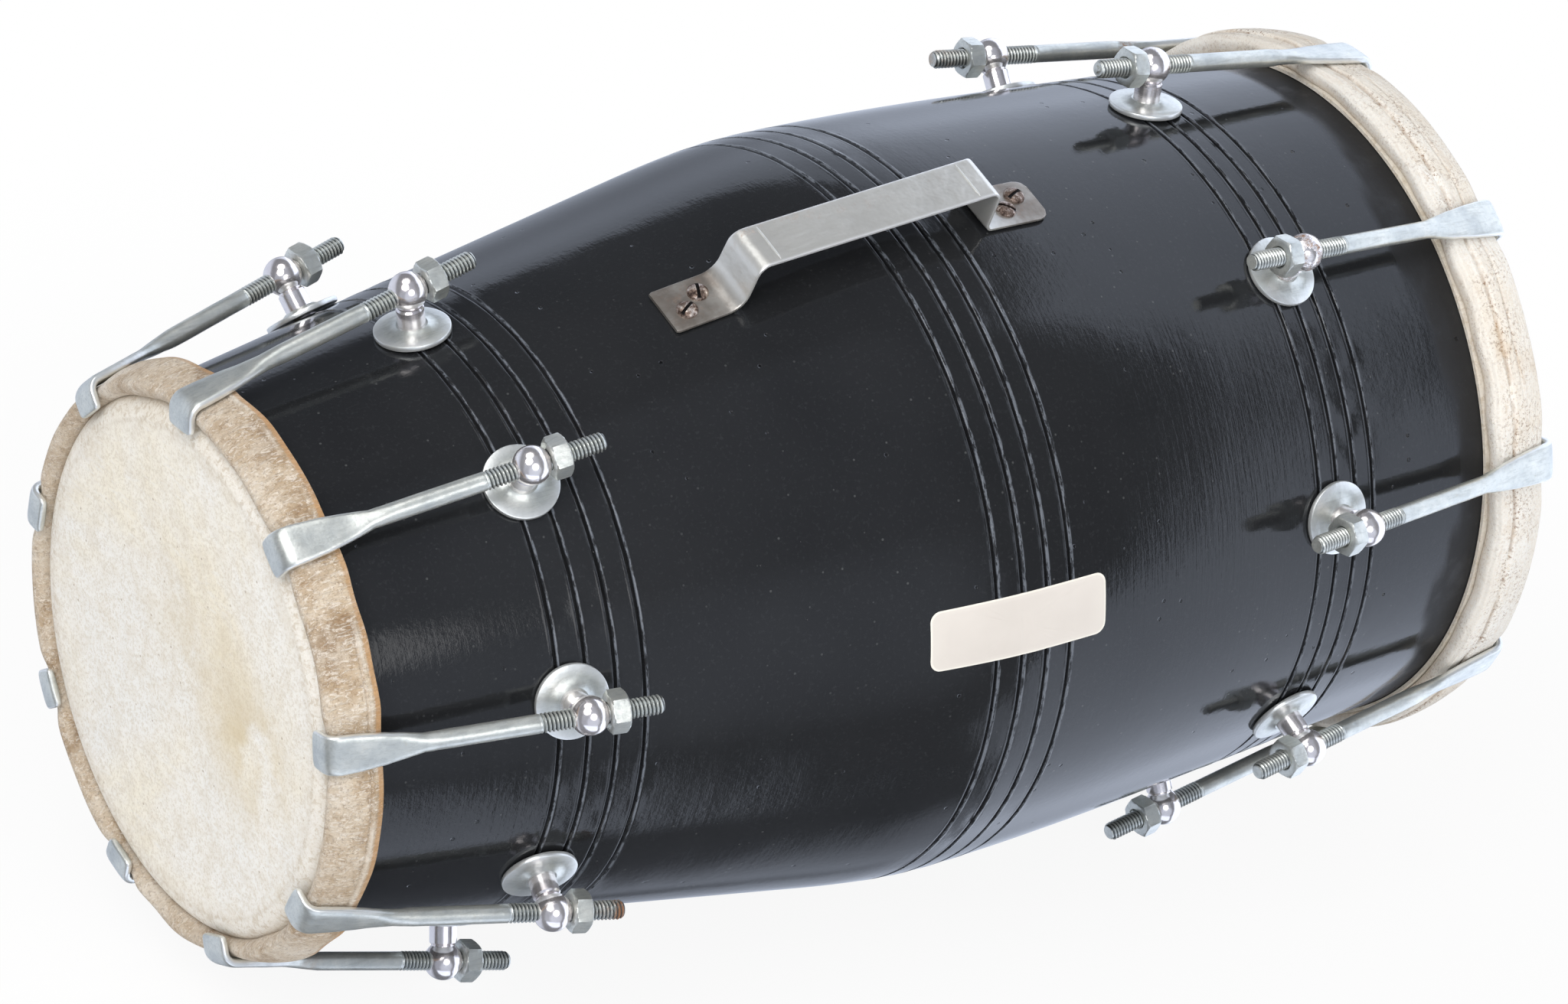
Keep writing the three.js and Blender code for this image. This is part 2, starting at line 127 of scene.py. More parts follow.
def drum_to_world():
    """Millimetres in the drum's frame to metres in the part's, from the two playing faces."""
    mounts = {m["name"]: m for m in frame["record"]["mounts"]}
    start, end = (np.array(mounts[n]["pos_m"]) for n in ("treble_face", "bass_face"))
    x = (end - start) / np.linalg.norm(end - start)
    y = np.array((0.0, 1.0, 0.0))
    m = np.eye(4)
    m[:3, :3] = np.column_stack((x, y, np.cross(x, y))) * 0.001
    m[:3, 3] = start
    return m


DRUM = drum_to_world()


def smooth_step(a, b, x):
    t = np.clip((np.asarray(x, float) - a) / (b - a), 0, 1)
    return t * t * (3 - 2 * t)


def bell(x, centre, width):
    return np.exp(-(((np.asarray(x, float) - centre) / width) ** 2))


def wobble(angle, low, high, seed):
    """Smooth closed wave round a circle, from low to high waves a turn, about -1 to 1."""
    r = np.random.default_rng(seed)
    waves = np.arange(low, high + 1)
    sizes = r.normal(size=len(waves)) / np.sqrt(len(waves))
    phases = r.uniform(0, 2 * np.pi, len(waves))
    return sum(s * np.cos(k * angle + p) for s, k, p in zip(sizes, waves, phases))


def hermite(x, x0, y0, s0, x1, y1, s1):
    """Curve from (x0, y0) with slope s0 to (x1, y1) with slope s1."""
    span = x1 - x0
    t = (x - x0) / span
    rise = y0 + (y1 - y0) * t * t * (3 - 2 * t)
    return rise + span * (s0 * t * (1 - t) ** 2 + s1 * t * t * (t - 1))


def barrel_radius(x):
    slope = (CONE_END_RADIUS - TREBLE_MOUTH_RADIUS) / CONE_END
    if x <= CONE_END:
        return TREBLE_MOUTH_RADIUS + slope * x
    if x <= BELLY:
        return hermite(x, CONE_END, CONE_END_RADIUS, slope, BELLY, BELLY_RADIUS, 0)
    return hermite(x, BELLY, BELLY_RADIUS, 0, LENGTH, BASS_MOUTH_RADIUS, BASS_MOUTH_SLOPE)


def circle(count):
    return np.arange(count) * 2 * np.pi / count


def ring(depth, radius, angle):
    """Points round x, with the angle counted from the top towards -y."""
    parts = np.broadcast_arrays(depth, -radius * np.sin(angle), radius * np.cos(angle))
    return np.column_stack(parts)


def towards(azimuth, elevation):
    """Unit vector in the part's frame, from degrees."""
    a, e = math.radians(azimuth), math.radians(elevation)
    return Vector((math.cos(a) * math.cos(e), math.sin(a) * math.cos(e), math.sin(e)))


class Head:
    """One end of the drum: its frame has its origin on the playing face and x into the drum."""

    def __init__(self, name, hoop_width, hoop_thickness, lug_depth):
        self.name, self.hoop_width = name, hoop_width
        self.treble = name == "treble"
        self.base = np.eye(4) if self.treble else move(LENGTH) @ turn("Z", math.pi)
        self.edge_depth = SKIN + GAP + MOUTH_ROUNDING
        self.edge_radius = self.radius(self.edge_depth) - MOUTH_ROUNDING
        self.hoop_front = self.skirt(0) + GAP + hoop_thickness
        before, after = (self.radius(lug_depth + d) for d in (-WASHER_RADIUS, WASHER_RADIUS))
        lean = math.atan((after - before) / (2 * WASHER_RADIUS))
        self.post = move(lug_depth, 0, self.radius(lug_depth)) @ turn("Y", -lean)
        ball = apply(self.post, (0, 0, BALL_HEIGHT))
        rise = ball[2] - self.hoop_front
        stand_off = BLADE_THICKNESS / 2 + GAP
        self.slope = math.atan2(rise, ball[0]) - math.asin(stand_off / math.hypot(ball[0], rise))
        self.rod = move(ball[0], 0, ball[2]) @ turn("Y", -self.slope)
        self.corner = -(ball[0] + GAP + BLADE_THICKNESS / 2) / math.cos(self.slope)
        self.blade_start = self.corner + hoop_width + BLADE_PAST_HOOP

    def radius(self, depth):
        return barrel_radius(depth if self.treble else LENGTH - depth)

    def skirt(self, depth):
        return self.radius(depth) + GAP + SKIN

    def hoop_top(self, depth):
        return self.hoop_front + depth * math.tan(self.slope)

    def edge_arc(self, radius, count):
        """Quarter circle round the centre of the bearing edge, from the face outwards."""
        angles = np.linspace(math.pi, math.pi / 2, count)
        depth, level = self.edge_depth, self.edge_radius
        return [(depth + radius * math.cos(a), level + radius * math.sin(a)) for a in angles]

    def station_turn(self, i):
        return (1 if self.treble else -1) * i * 2 * math.pi / STATIONS

    def station(self, i):
        return self.base @ turn("X", self.station_turn(i))

    def near_hook(self, angle, width):
        """1 where a ring passes under a hook and 0 between hooks, from the ring's angles."""
        step = 2 * math.pi / STATIONS
        away = np.abs((angle + step / 2) % step - step / 2)
        return np.exp(-((away / width) ** 4))


TREBLE = Head("treble", 16, 5, 79.7)
BASS = Head("bass", 21, 4, 88.5)


# Mesh pieces

def loft(rings, wrap=False, caps=True, attributes=None):
    """Skin over closed rings of equal length. wrap joins the last ring to the first.
    Attributes hold one entry a ring, a number or one number a point."""
    rings = np.asarray(rings, float)
    n, m = rings.shape[:2]
    index = np.arange(n * m).reshape(n, m)
    rows = np.arange(n if wrap else n - 1)
    a, b = index[rows], index[(rows + 1) % n]
    c, d = np.roll(b, -1, 1), np.roll(a, -1, 1)
    faces = np.stack((a, b, c, d), -1).reshape(-1, 4).tolist()
    if caps and not wrap:
        faces += [index[0].tolist(), index[-1][::-1].tolist()]
    spread = {
        key: np.concatenate([np.broadcast_to(v, m) for v in values])
        for key, values in (attributes or {}).items()
    }
    return {"points": rings.reshape(-1, 3), "faces": faces, "attributes": spread}


class Rings:
    """Rings round x, added one at a time with the marks that their material reads."""

    def __init__(self, count, *marks):
        self.angle, self.rings = circle(count), []
        self.marks = {mark: [] for mark in marks}

    def add(self, depth, radius, **given):
        self.rings.append(ring(depth, radius, self.angle))
        for mark, values in self.marks.items():
            values.append(given.get(mark, 0.0))


def revolved_x(outline, count, bend=None, **options):
    """Rings round x from [depth, radius] points; bend(angle, depth, radius) may move them."""
    angle = circle(count)
    if bend:
        outline = [bend(angle, depth, radius) for depth, radius in outline]
    return loft([ring(depth, radius, angle) for depth, radius in outline], **options)


def revolved_z(outline, count):
    """Rings round z from [radius, height] points."""
    angle = circle(count)
    rings = [
        np.column_stack((r * np.cos(angle), r * np.sin(angle), np.full(count, z)))
        for r, z in outline
    ]
    return loft(rings)


def moved(part, matrix):
    return {**part, "points": apply(matrix, part["points"])}


def placed(name, data):
    made = bpy.data.objects.new(name, data)
    bpy.context.scene.collection.objects.link(made)
    return made


def mesh_object(name, points, faces):
    mesh = bpy.data.meshes.new(name)
    mesh.from_pydata(np.asarray(points).tolist(), [], faces)
    return placed(name, mesh)


def carved(part, cutters):
    """Part with the cutters taken away."""
    target, *tools = (mesh_object("scratch", c["points"], c["faces"]) for c in (part, *cutters))
    for tool in tools:
        modifier = target.modifiers.new("cut", "BOOLEAN")
        modifier.operation, modifier.solver, modifier.object = "DIFFERENCE", "EXACT", tool
    depsgraph = bpy.context.evaluated_depsgraph_get()
    mesh = bpy.data.meshes.new_from_object(target.evaluated_get(depsgraph))
    points = np.array([v.co for v in mesh.vertices])
    faces = [list(p.vertices) for p in mesh.polygons]
    for o in (target, *tools):
        bpy.data.objects.remove(o)
    return {"points": points, "faces": faces, "attributes": {}}


def piece(name, parts, body, nodes=(), matrix=None, crease=38):
    """One object of several parts, each with its own material, given in the drum's frame."""
    matrix = DRUM if matrix is None else DRUM @ matrix
    points, faces, kinds, sizes, materials = [], [], [], [], []
    start = 0
    for part, material in parts:
        if material not in materials:
            materials.append(material)
        points.append(apply(matrix, part["points"]))
        faces += [[i + start for i in f] for f in part["faces"]]
        kinds += [materials.index(material)] * len(part["faces"])
        sizes.append(len(part["points"]))
        start += sizes[-1]
    made = mesh_object(name, np.concatenate(points), faces)
    mesh = made.data
    for material in materials:
        mesh.materials.append(material)
    mesh.polygons.foreach_set("material_index", kinds)
    mesh.polygons.foreach_set("use_smooth", [True] * len(faces))
    for key in sorted({k for part, _ in parts for k in part["attributes"]}):
        values = np.concatenate(
            [
                np.broadcast_to(part["attributes"].get(key, 0.0), size).astype(np.float32)
                for (part, _), size in zip(parts, sizes)
            ]
        )
        mesh.attributes.new(key, "FLOAT", "POINT").data.foreach_set("value", values)
    mesh.validate()
    mesh.set_sharp_from_angle(angle=math.radians(crease))
    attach(made, body)
    if nodes:
        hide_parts(*nodes)


# Materials

def srgb(colour):
    channels = [c / 255 for c in colour]
    linear = [c / 12.92 if c <= 0.04045 else ((c + 0.055) / 1.055) ** 2.4 for c in channels]
    return (*linear, 1.0)


class Nodes:
    """A node tree, built one call at a time. An input is a socket to link or a plain value."""

    def __init__(self, tree):
        self.tree = tree

    def put(self, socket, value):
        if isinstance(value, bpy.types.NodeSocket):
            self.tree.links.new(value, socket)
        else:
            socket.default_value = value

    def node(self, kind, inputs=(), **settings):
        made = self.tree.nodes.new(f"ShaderNode{kind}")
        for key, value in settings.items():
            setattr(made, key, value)
        for key, value in dict(inputs).items():
            self.put(made.inputs[key], value)
        return made

    def add(self, kind, inputs=(), output=0, **settings):
        return self.node(kind, inputs, **settings).outputs[output]

    def math(self, operation, *values):
        return self.add("Math", enumerate(values), operation=operation)

    def times(self, a, b):
        return self.math("MULTIPLY", a, b)

    def range(self, value, low, high, to_low=0.0, to_high=1.0):
        """Smooth step from to_low, where the value is low, to to_high, where it is high."""
        inputs = enumerate((value, low, high, to_low, to_high))
        return self.add("MapRange", inputs, interpolation_type="SMOOTHSTEP")

    def mix(self, share, a, b):
        return self.add("MixRGB", {"Fac": share, "Color1": a, "Color2": b})


class Finish(Nodes):
    """A Principled material whose colour is laid down in layers. Colours are 0 to 255."""

    def __init__(self, name, **sockets):
        self.material = bpy.data.materials.new(name)
        self.material.use_nodes = True
        super().__init__(self.material.node_tree)
        self.shader = self.tree.nodes["Principled BSDF"]
        self.set(**sockets)

    def set(self, **sockets):
        for key, value in sockets.items():
            self.put(self.shader.inputs[key.replace("_", " ")], value)

    def place(self, stretch):
        """Object coordinates turned so that x runs along the drum, then stretched."""
        where = self.add("TexCoord", output="Object")
        tilt = math.atan2(DRUM[2, 0], DRUM[0, 0])
        turned = self.add("Mapping", {"Vector": where, "Rotation": (0, tilt, 0)})
        return self.add("Mapping", {"Vector": turned, "Scale": stretch})

    def noise(self, scale, detail=3.0, rough=0.5, stretch=(1, 1, 1), distortion=0.0):
        inputs = {
            "Vector": self.place(stretch),
            "Scale": scale,
            "Detail": detail,
            "Roughness": rough,
            "Distortion": distortion,
        }
        return self.add("TexNoise", inputs, "Fac")

    def dots(self, scale, size, share):
        """1 inside small scattered dots: size is a share of a cell, share of the cells."""
        inputs = {"Vector": self.place((1, 1, 1)), "Scale": scale, "Randomness": 1.0}
        cell = self.node("TexVoronoi", inputs).outputs
        near = self.range(cell["Distance"], size, size * 0.6)
        draw = self.add("SeparateColor", {"Color": cell["Color"]})
        return self.times(near, self.math("GREATER_THAN", draw, 1 - share))

    def attribute(self, name):
        return self.add("Attribute", output="Fac", attribute_name=name)

    def ramp(self, value, *stops):
        """Each stop is a position and its colour."""
        node = self.node("ValToRGB", {"Fac": value})
        elements = node.color_ramp.elements
        while len(elements) < len(stops):
            elements.new(0.5)
        for element, (position, *colour) in zip(elements, stops):
            element.position, element.color = position, srgb(colour)
        return node.outputs[0]

    def base(self, value, *stops):
        self.colour = self.ramp(value, *stops)

    def layer(self, colour, *shares):
        """A colour over the ones before it, where the shares, multiplied, let it show."""
        share = shares[0]
        for more in shares[1:]:
            share = self.times(more, share)
        self.colour = self.mix(share, self.colour, srgb(colour))

    def done(self, *bumps, **sockets):
        """The material. Bumps are (height socket, metres), from the coarsest to the finest."""
        normal = None
        for height, distance in bumps:
            inputs = {"Height": height, "Distance": distance, "Strength": 1.0}
            if normal is not None:
                inputs["Normal"] = normal
            normal = self.add("Bump", inputs)
        self.set(Base_Color=self.colour, Normal=normal, **sockets)
        return self.material


def lacquer_finish():
    f = Finish("black_lacquer", IOR=1.42)
    groove = f.attribute("groove")
    field = f.range(f.noise(11, 2), 0.40, 0.60, 0.25, 1.0)
    pits = f.times(f.dots(140, 0.11, 0.3), f.range(f.noise(9, 2), 0.38, 0.55))
    ragged = f.range(f.noise(900, 4, 0.75, (1, 0.22, 0.22)), 0.42, 0.56)
    dusty = f.times(f.attribute("dusty"), f.range(f.noise(70, 4, 0.6), 0.3, 0.55, 0.55, 1.0))
    brush = f.times(f.attribute("brush"), f.noise(1.0, 3, 0.6, (900, 60, 60), 0.4))
    f.base(f.noise(14, 3, 0.55), (0.3, 31, 32, 34), (0.7, 38, 39, 41))
    f.layer((58, 60, 62), 0.35, f.range(f.noise(800, 4, 0.65), 0.52, 0.75))
    f.layer((110, 112, 112), 0.35, f.dots(330, 0.16, 0.2), field)
    f.layer((8, 8, 8), 0.9, pits)
    # Painted highlight: a light blue-grey stripe on the groove lips, broken by noise.
    f.layer((132, 138, 148), 0.6, f.attribute("lip"), ragged)
    # Painted shade: the groove floors are darkened.
    f.layer((14, 14, 15), 0.55, groove)
    # Painted shade: a dark mottled band on the lacquer beside the bass hoop, where the lacquer is
    # also rougher.
    f.layer((30, 28, 26), 0.5, dusty)
    rough = f.range(f.noise(60, 4, 0.6), 0.3, 0.75, 0.05, 0.10)
    for share, amount in ((groove, 0.08), (dusty, 0.5)):
        rough = f.math("ADD", rough, f.times(share, amount))
    return f.done(
        (f.noise(22, 2), 0.0003),
        (f.noise(1.0, 4, 0.6, (900, 14, 14)), 0.000016),
        (f.noise(1.0, 4, 0.7, (60, 420, 420), 0.5), 0.00002),
        (brush, 0.00005),
        (f.noise(420, 4, 0.65), 0.000035),
        (pits, -0.0003),
        Roughness=rough,
    )


def membrane_finish():
    f = Finish("goat_membrane", IOR=1.4)
    edge = f.attribute("edge")
    large = f.noise(16, 4, 0.6, distortion=0.8)
    small = f.noise(120, 5, 0.65)
    grain = f.noise(1100, 4, 0.7)
    fibre = f.noise(1.0, 4, 0.7, (300, 70, 420), 0.8)
    across = f.noise(1.0, 4, 0.7, (300, 520, 90), 1.2)
    coarse = f.noise(420, 5, 0.75, distortion=0.6)
    f.base(large, (0.30, 252, 251, 248), (0.48, 255, 252, 246), (0.66, 255, 248, 232))
    f.layer((230, 220, 204), 0.34, f.range(small, 0.44, 0.62))
    f.layer((214, 202, 182), 0.50, f.range(grain, 0.47, 0.60))
    f.layer((255, 253, 249), 0.38, f.range(fibre, 0.54, 0.66))
    f.layer((255, 252, 246), 0.30, f.range(across, 0.56, 0.68))
    f.layer((222, 202, 160), 0.7, f.attribute("stain"), f.range(f.noise(45, 4, 0.6), 0.30, 0.6))
    f.layer((168, 146, 118), 0.6, f.dots(230, 0.12, 0.06))
    f.layer((246, 240, 230), 0.45, edge)
    f.layer((206, 190, 166), 0.55, edge, f.range(coarse, 0.50, 0.60))
    # Painted shade in the valley where the skin meets the hoop.
    f.layer((190, 174, 150), 0.35, f.attribute("valley"))
    rough = f.range(small, 0.3, 0.7, 0.5, 0.72)
    bumps = (large, 0.0010), (small, 0.0004), (fibre, 0.0002), (across, 0.0001), (grain, 0.0003)
    return f.done(*bumps, Roughness=rough)


def suede_finish():
    f = Finish("suede_hide", Sheen_Weight=0.2, Sheen_Roughness=0.5)
    large = f.noise(38, 5, 0.62, distortion=0.6)
    middle = f.noise(150, 5, 0.7)
    nap = f.noise(900, 5, 0.75)
    hair = f.noise(1.0, 5, 0.75, (190, 760, 760), 1.5)
    tans = (0.34, 164, 136, 104), (0.46, 198, 173, 142), (0.56, 216, 197, 172)
    f.base(large, *tans, (0.68, 240, 229, 214))
    f.layer((236, 222, 203), 0.45, f.range(middle, 0.48, 0.64))
    f.layer((164, 132, 96), 0.35, f.range(middle, 0.48, 0.36))
    f.layer((250, 242, 232), 0.62, f.range(hair, 0.51, 0.58))
    f.layer((138, 106, 72), 0.50, f.range(nap, 0.53, 0.60))
    f.layer((230, 221, 208), 0.55, f.attribute("pale"), f.range(middle, 0.35, 0.6, 0.2, 1.0))
    f.layer((200, 152, 98), 0.8, f.attribute("raw"), f.range(f.noise(60), 0.3, 0.6, 0.6, 1.0))
    f.layer((246, 236, 222), 0.85, f.attribute("seam"), f.range(f.noise(50), 0.35, 0.6))
    bumps = (large, 0.0020), (middle, 0.0010), (hair, 0.0005), (nap, 0.00035)
    return f.done(*bumps, Roughness=0.9)


def cream_hide_finish():
    f = Finish("cream_hide", Sheen_Weight=0.1, Sheen_Roughness=0.5)
    large = f.noise(34, 5, 0.65, (1, 0.6, 0.6), 0.6)
    fine = f.noise(1000, 5, 0.75)
    grain = f.noise(1300, 4, 0.7)
    crease = f.noise(1.0, 5, 0.7, (420, 60, 60), 1.0)
    f.base(large, (0.34, 240, 231, 218), (0.50, 246, 241, 233), (0.66, 252, 250, 246))
    region = f.range(f.noise(75, 4, 0.6), 0.38, 0.60, 0.2, 1.0)
    band = f.math("MULTIPLY_ADD", f.attribute("seam"), 0.5, 0.5)
    f.layer((140, 106, 78), f.range(fine, 0.52, 0.59), region, band)
    f.layer((132, 100, 72), 0.55, f.attribute("line"), f.range(f.noise(90, 4), 0.36, 0.52))
    f.layer((184, 150, 114), 0.28, f.range(crease, 0.56, 0.68))
    f.layer((206, 176, 138), 0.45, f.range(f.noise(48), 0.60, 0.74))
    f.layer((232, 218, 198), 0.45, f.range(grain, 0.5, 0.62))
    f.layer((248, 243, 234), 0.4, f.attribute("pale"))
    # Painted shade: the bass hoop's rear wall, stepping down to the barrel, is darkened.
    f.layer((150, 130, 104), 0.6, f.attribute("under"))
    bumps = (large, 0.0024), (crease, 0.0003), (fine, 0.00015), (grain, 0.0001)
    return f.done(*bumps, Roughness=0.85)


def rusted(f, amount, scale, shine, rough, rust_rough):
    """Brown rust where the piece says so and the noise agrees, and thread roots darkened grey as
    painted shade.
    """
    grain = f.noise(scale, 5, 0.7)
    share = f.times(f.attribute("rust"), f.range(grain, 0.5 - amount, 0.72 - amount))
    rust = f.ramp(grain, (0.35, 88, 58, 42), (0.6, 150, 108, 78))
    f.colour = f.mix(share, f.colour, rust)
    # Painted shade: darker grey in the thread roots.
    f.layer((70, 76, 78), f.range(f.attribute("root"), 0.30, 0.90, 0.0, 0.9))
    rough = f.math("ADD", rough, f.times(share, rust_rough))
    f.set(Metallic=f.range(share, 0, 1, shine, 0.15), Roughness=rough)
    return share


def zinc_finish():
    f = Finish("zinc_plate")
    cloud = f.noise(110, 4, 0.6)
    spangle = f.noise(800, 4, 0.7)
    stain = f.noise(300, 4, 0.65)
    drawn = f.noise(1.0, 4, 0.6, (40, 1100, 1100))
    f.base(cloud, (0.30, 192, 196, 194), (0.50, 212, 215, 210), (0.70, 228, 229, 222))
    f.layer((164, 172, 174), 0.22, f.range(spangle, 0.48, 0.70))
    f.layer((176, 178, 172), 0.30, f.range(drawn, 0.50, 0.62))
    f.layer((190, 180, 150), 0.22, f.range(stain, 0.60, 0.78))
    # Painted highlight: near-white on the washer rims and the blade edges.
    f.layer((250, 252, 252), 0.6, f.attribute("rim"))
    rust = rusted(f, 0.12, 230, 0.72, f.range(spangle, 0.3, 0.75, 0.29, 0.38), 0.35)
    bumps = (cloud, 0.00022), (drawn, 0.00001), (stain, 0.00002), (spangle, 0.00001)
    return f.done(*bumps, (rust, 0.0002))


def polished_finish():
    f = Finish("polished_steel")
    cloud = f.noise(150, 3, 0.6)
    f.base(cloud, (0.35, 232, 225, 225), (0.65, 248, 243, 242))
    rough = f.range(f.noise(420, 3, 0.6), 0.3, 0.8, 0.15, 0.19)
    rust = rusted(f, 0.02, 330, 0.85, rough, 0.5)
    return f.done((cloud, 0.00005), (rust, 0.0002))


def strap_finish():
    f = Finish("stainless_strap")
    brushed = f.noise(1.0, 4, 0.65, (25, 1500, 1500))
    cloud = f.noise(55, 4, 0.6)
    scuffs = f.noise(1.0, 4, 0.7, (160, 420, 420), 1.2)
    f.base(cloud, (0.3, 214, 213, 208), (0.7, 228, 227, 222))
    f.layer((122, 112, 103), f.attribute("dull"), f.range(cloud, 0.3, 0.6, 0.5, 0.9))
    f.layer((196, 196, 192), 0.12, f.range(scuffs, 0.54, 0.64))
    # Painted highlight: white along the grip's long edges.
    f.layer((255, 255, 255), 0.8, f.attribute("rim"))
    rusted(f, 0.0, 260, 0.62, f.range(brushed, 0.3, 0.75, 0.29, 0.37), 0.4)
    return f.done((cloud, 0.0005), (brushed, 0.000008))


def screw_finish():
    f = Finish("rusty_screw", Metallic=0.75)
    grain = f.noise(500, 5, 0.7)
    f.base(grain, (0.36, 64, 50, 44), (0.5, 136, 116, 104), (0.64, 222, 210, 200))
    # Painted shade: the slot floor, marked root, is near black.
    f.layer((28, 24, 22), f.attribute("root"))
    return f.done((grain, 0.00025), Roughness=f.range(grain, 0.4, 0.6, 0.6, 0.3))


def label_finish():
    f = Finish("cream_label", IOR=1.45)
    cloud = f.noise(60)
    paper = f.noise(900, 3, 0.6)
    f.base(cloud, (0.35, 221, 214, 207), (0.65, 226, 219, 212))
    f.layer((250, 246, 236), 0.8, f.attribute("edge"))
    rough = f.range(paper, 0.3, 0.7, 0.32, 0.42)
    return f.done((cloud, 0.0002), (paper, 0.00002), Roughness=rough)


def raw_wood_finish():
    f = Finish("raw_wood", Roughness=0.8)
    grain = f.noise(1.0, 5, 0.6, (8, 120, 120), 1.5)
    f.base(grain, (0.35, 146, 112, 78), (0.65, 190, 156, 116))
    return f.done((grain, 0.0006))


LACQUER = lacquer_finish()
GOAT = membrane_finish()
SUEDE = suede_finish()
CREAM_HIDE = cream_hide_finish()
ZINC = zinc_finish()
POLISHED = polished_finish()
STRAP = strap_finish()
SCREW = screw_finish()
LABEL = label_finish()
WOOD = raw_wood_finish()


# Barrel

def past_groove(x):
    """Millimetres from the nearest groove's middle, towards the bass."""
    return min((x - g for g in GROOVES), key=abs)


def groove_drop(x):
    """How far a groove's floor lies under the surface at a depth, in millimetres."""
    return float(np.interp(abs(past_groove(x)), *zip(*GROOVE_SHAPE)))


def ragged(angle, depth, radius):
    """The outline at a groove, a little uneven round the drum."""
    nearest = min(GROOVES, key=lambda g: abs(g - depth))
    away = abs(depth - nearest)
    if away > 1.6:
        return depth, radius
    seed = int(nearest * 10) + int(away * 10)
    aside = 0.025 * wobble(angle, 6, 40, seed)
    return depth + aside, radius + 0.02 * wobble(angle, 10, 60, seed + 5)


def barrel():
    ends = []
    for head in (TREBLE, BASS):
        arc = head.edge_arc(MOUTH_ROUNDING, 7)
        ends.append(arc if head.treble else [(LENGTH - d, r) for d, r in reversed(arc)])
    stops = np.linspace(ends[0][-1][0] + 2, ends[1][0][0] - 2, 110)
    stops = {x for x in stops if abs(past_groove(x)) > 2.1}
    stops |= {g + side * d for g in GROOVES for d, _ in GROOVE_SHAPE for side in (-1, 1)}
    outside = [(x, barrel_radius(x) - groove_drop(x)) for x in sorted(stops)]
    outline = ends[0] + outside + ends[1]
    count = 288
    angle = circle(count)
    depths = np.array([d for d, _ in outline])
    past = np.array([past_groove(d) for d in depths])
    away = np.abs(past)
    # The groove lips get a painted highlight, wider near the middle, strong on the bass side of
    # each groove and weak on the treble side.
    lip_highlight_end = np.where(np.abs(depths - LENGTH / 2) < 60, 1.6, 1.2)
    # Painted shade band on the lacquer within about 15 mm of the bass hoop, its edge wavering round
    # the drum.
    hoop_shade_end = 15 + 2.5 * wobble(angle, 2, 12, 61)
    to_hoop = LENGTH - BASS.hoop_width - depths[:, None]
    attributes = {
        # groove marks the groove floors, darkened in the lacquer as painted shade and made rougher.
        "groove": away < 0.6,
        "lip": ((away > 0.6) & (away < lip_highlight_end)) * np.where(past > 0, 1.0, 0.2),
        "brush": np.outer(bell(depths, 318, 42), bell(np.degrees(angle), 78, 30)),
        "dusty": 1 - smooth_step(hoop_shade_end - 1.5, hoop_shade_end + 1.5, to_hoop),
    }
    shell = revolved_x(outline, count, ragged, caps=False, attributes=attributes)
    mouth = SKIN + GAP
    inside = [(x, barrel_radius(x) - WALL) for x in np.linspace(LENGTH - mouth, mouth, 30)]
    bore = revolved_x([outline[-1], *inside, outline[0]], 96, caps=False)
    piece("barrel", [(shell, LACQUER), (bore, WOOD)], "shell", ["barrel_shell"])


# Heads

def membrane(head):
    radius = head.edge_radius
    inner = MOUTH_ROUNDING + GAP
    end = head.hoop_width + 1.5
    outline = [(0.0, r) for r in np.linspace(1.5, radius - 1, 26)]
    outline += head.edge_arc(inner + SKIN, 12)
    outline += [(d, head.skirt(d)) for d in np.linspace(head.edge_depth + 1, end, 5)]
    outline += [(end, head.radius(end) + GAP)] + head.edge_arc(inner, 12)[::-1]
    if head.treble:
        outline += [(SKIN, radius - 1), (SKIN, 1.5)]
    else:
        paste = (0, 55), (1.4, 54.6), (2.6, 53), (3, 50), (3, 1.5)
        outline += [(SKIN + height, r) for height, r in paste]

    def sag(angle, depth, r):
        share = 1 - smooth_step(radius - 14, radius, r)
        return depth + 0.10 * share * wobble(angle, 2, 7, 4) * smooth_step(0, 40, r), r

    made = revolved_x(outline, 192, sag)
    _, y, z = made["points"].T
    r = np.hypot(y, z)
    made["attributes"] = {
        "edge": smooth_step(radius - 6, radius + 1, r),
        # Painted shade at the valley by the hoop and on the skirt under it.
        "valley": 0.6 * bell(r, radius - 0.2, 0.6) + smooth_step(radius + 5, radius + 7, r),
        "stain": bell(np.hypot(y + 42, z + 6), 0, 22) + 0.5 * bell(np.hypot(y + 8, z - 20), 0, 25),
    }
    name = f"{head.name}_skin"
    piece(f"{head.name}_membrane", [(made, GOAT)], "shell", [name], head.base, 60)


def wrapped_hoop(head, rings, inner, finish):
    """Closes a hoop's hide along the skirt, and makes it a piece."""
    rings.add(head.hoop_width - 1.5, head.skirt(head.hoop_width) + GAP - 0.1)
    rings.add(inner, head.skirt(inner) + GAP)
    made = loft(rings.rings, wrap=True, attributes=rings.marks)
    name = f"{head.name}_hoop"
    piece(f"{name}_hide", [(made, finish)], "shell", [name], head.base, 75)


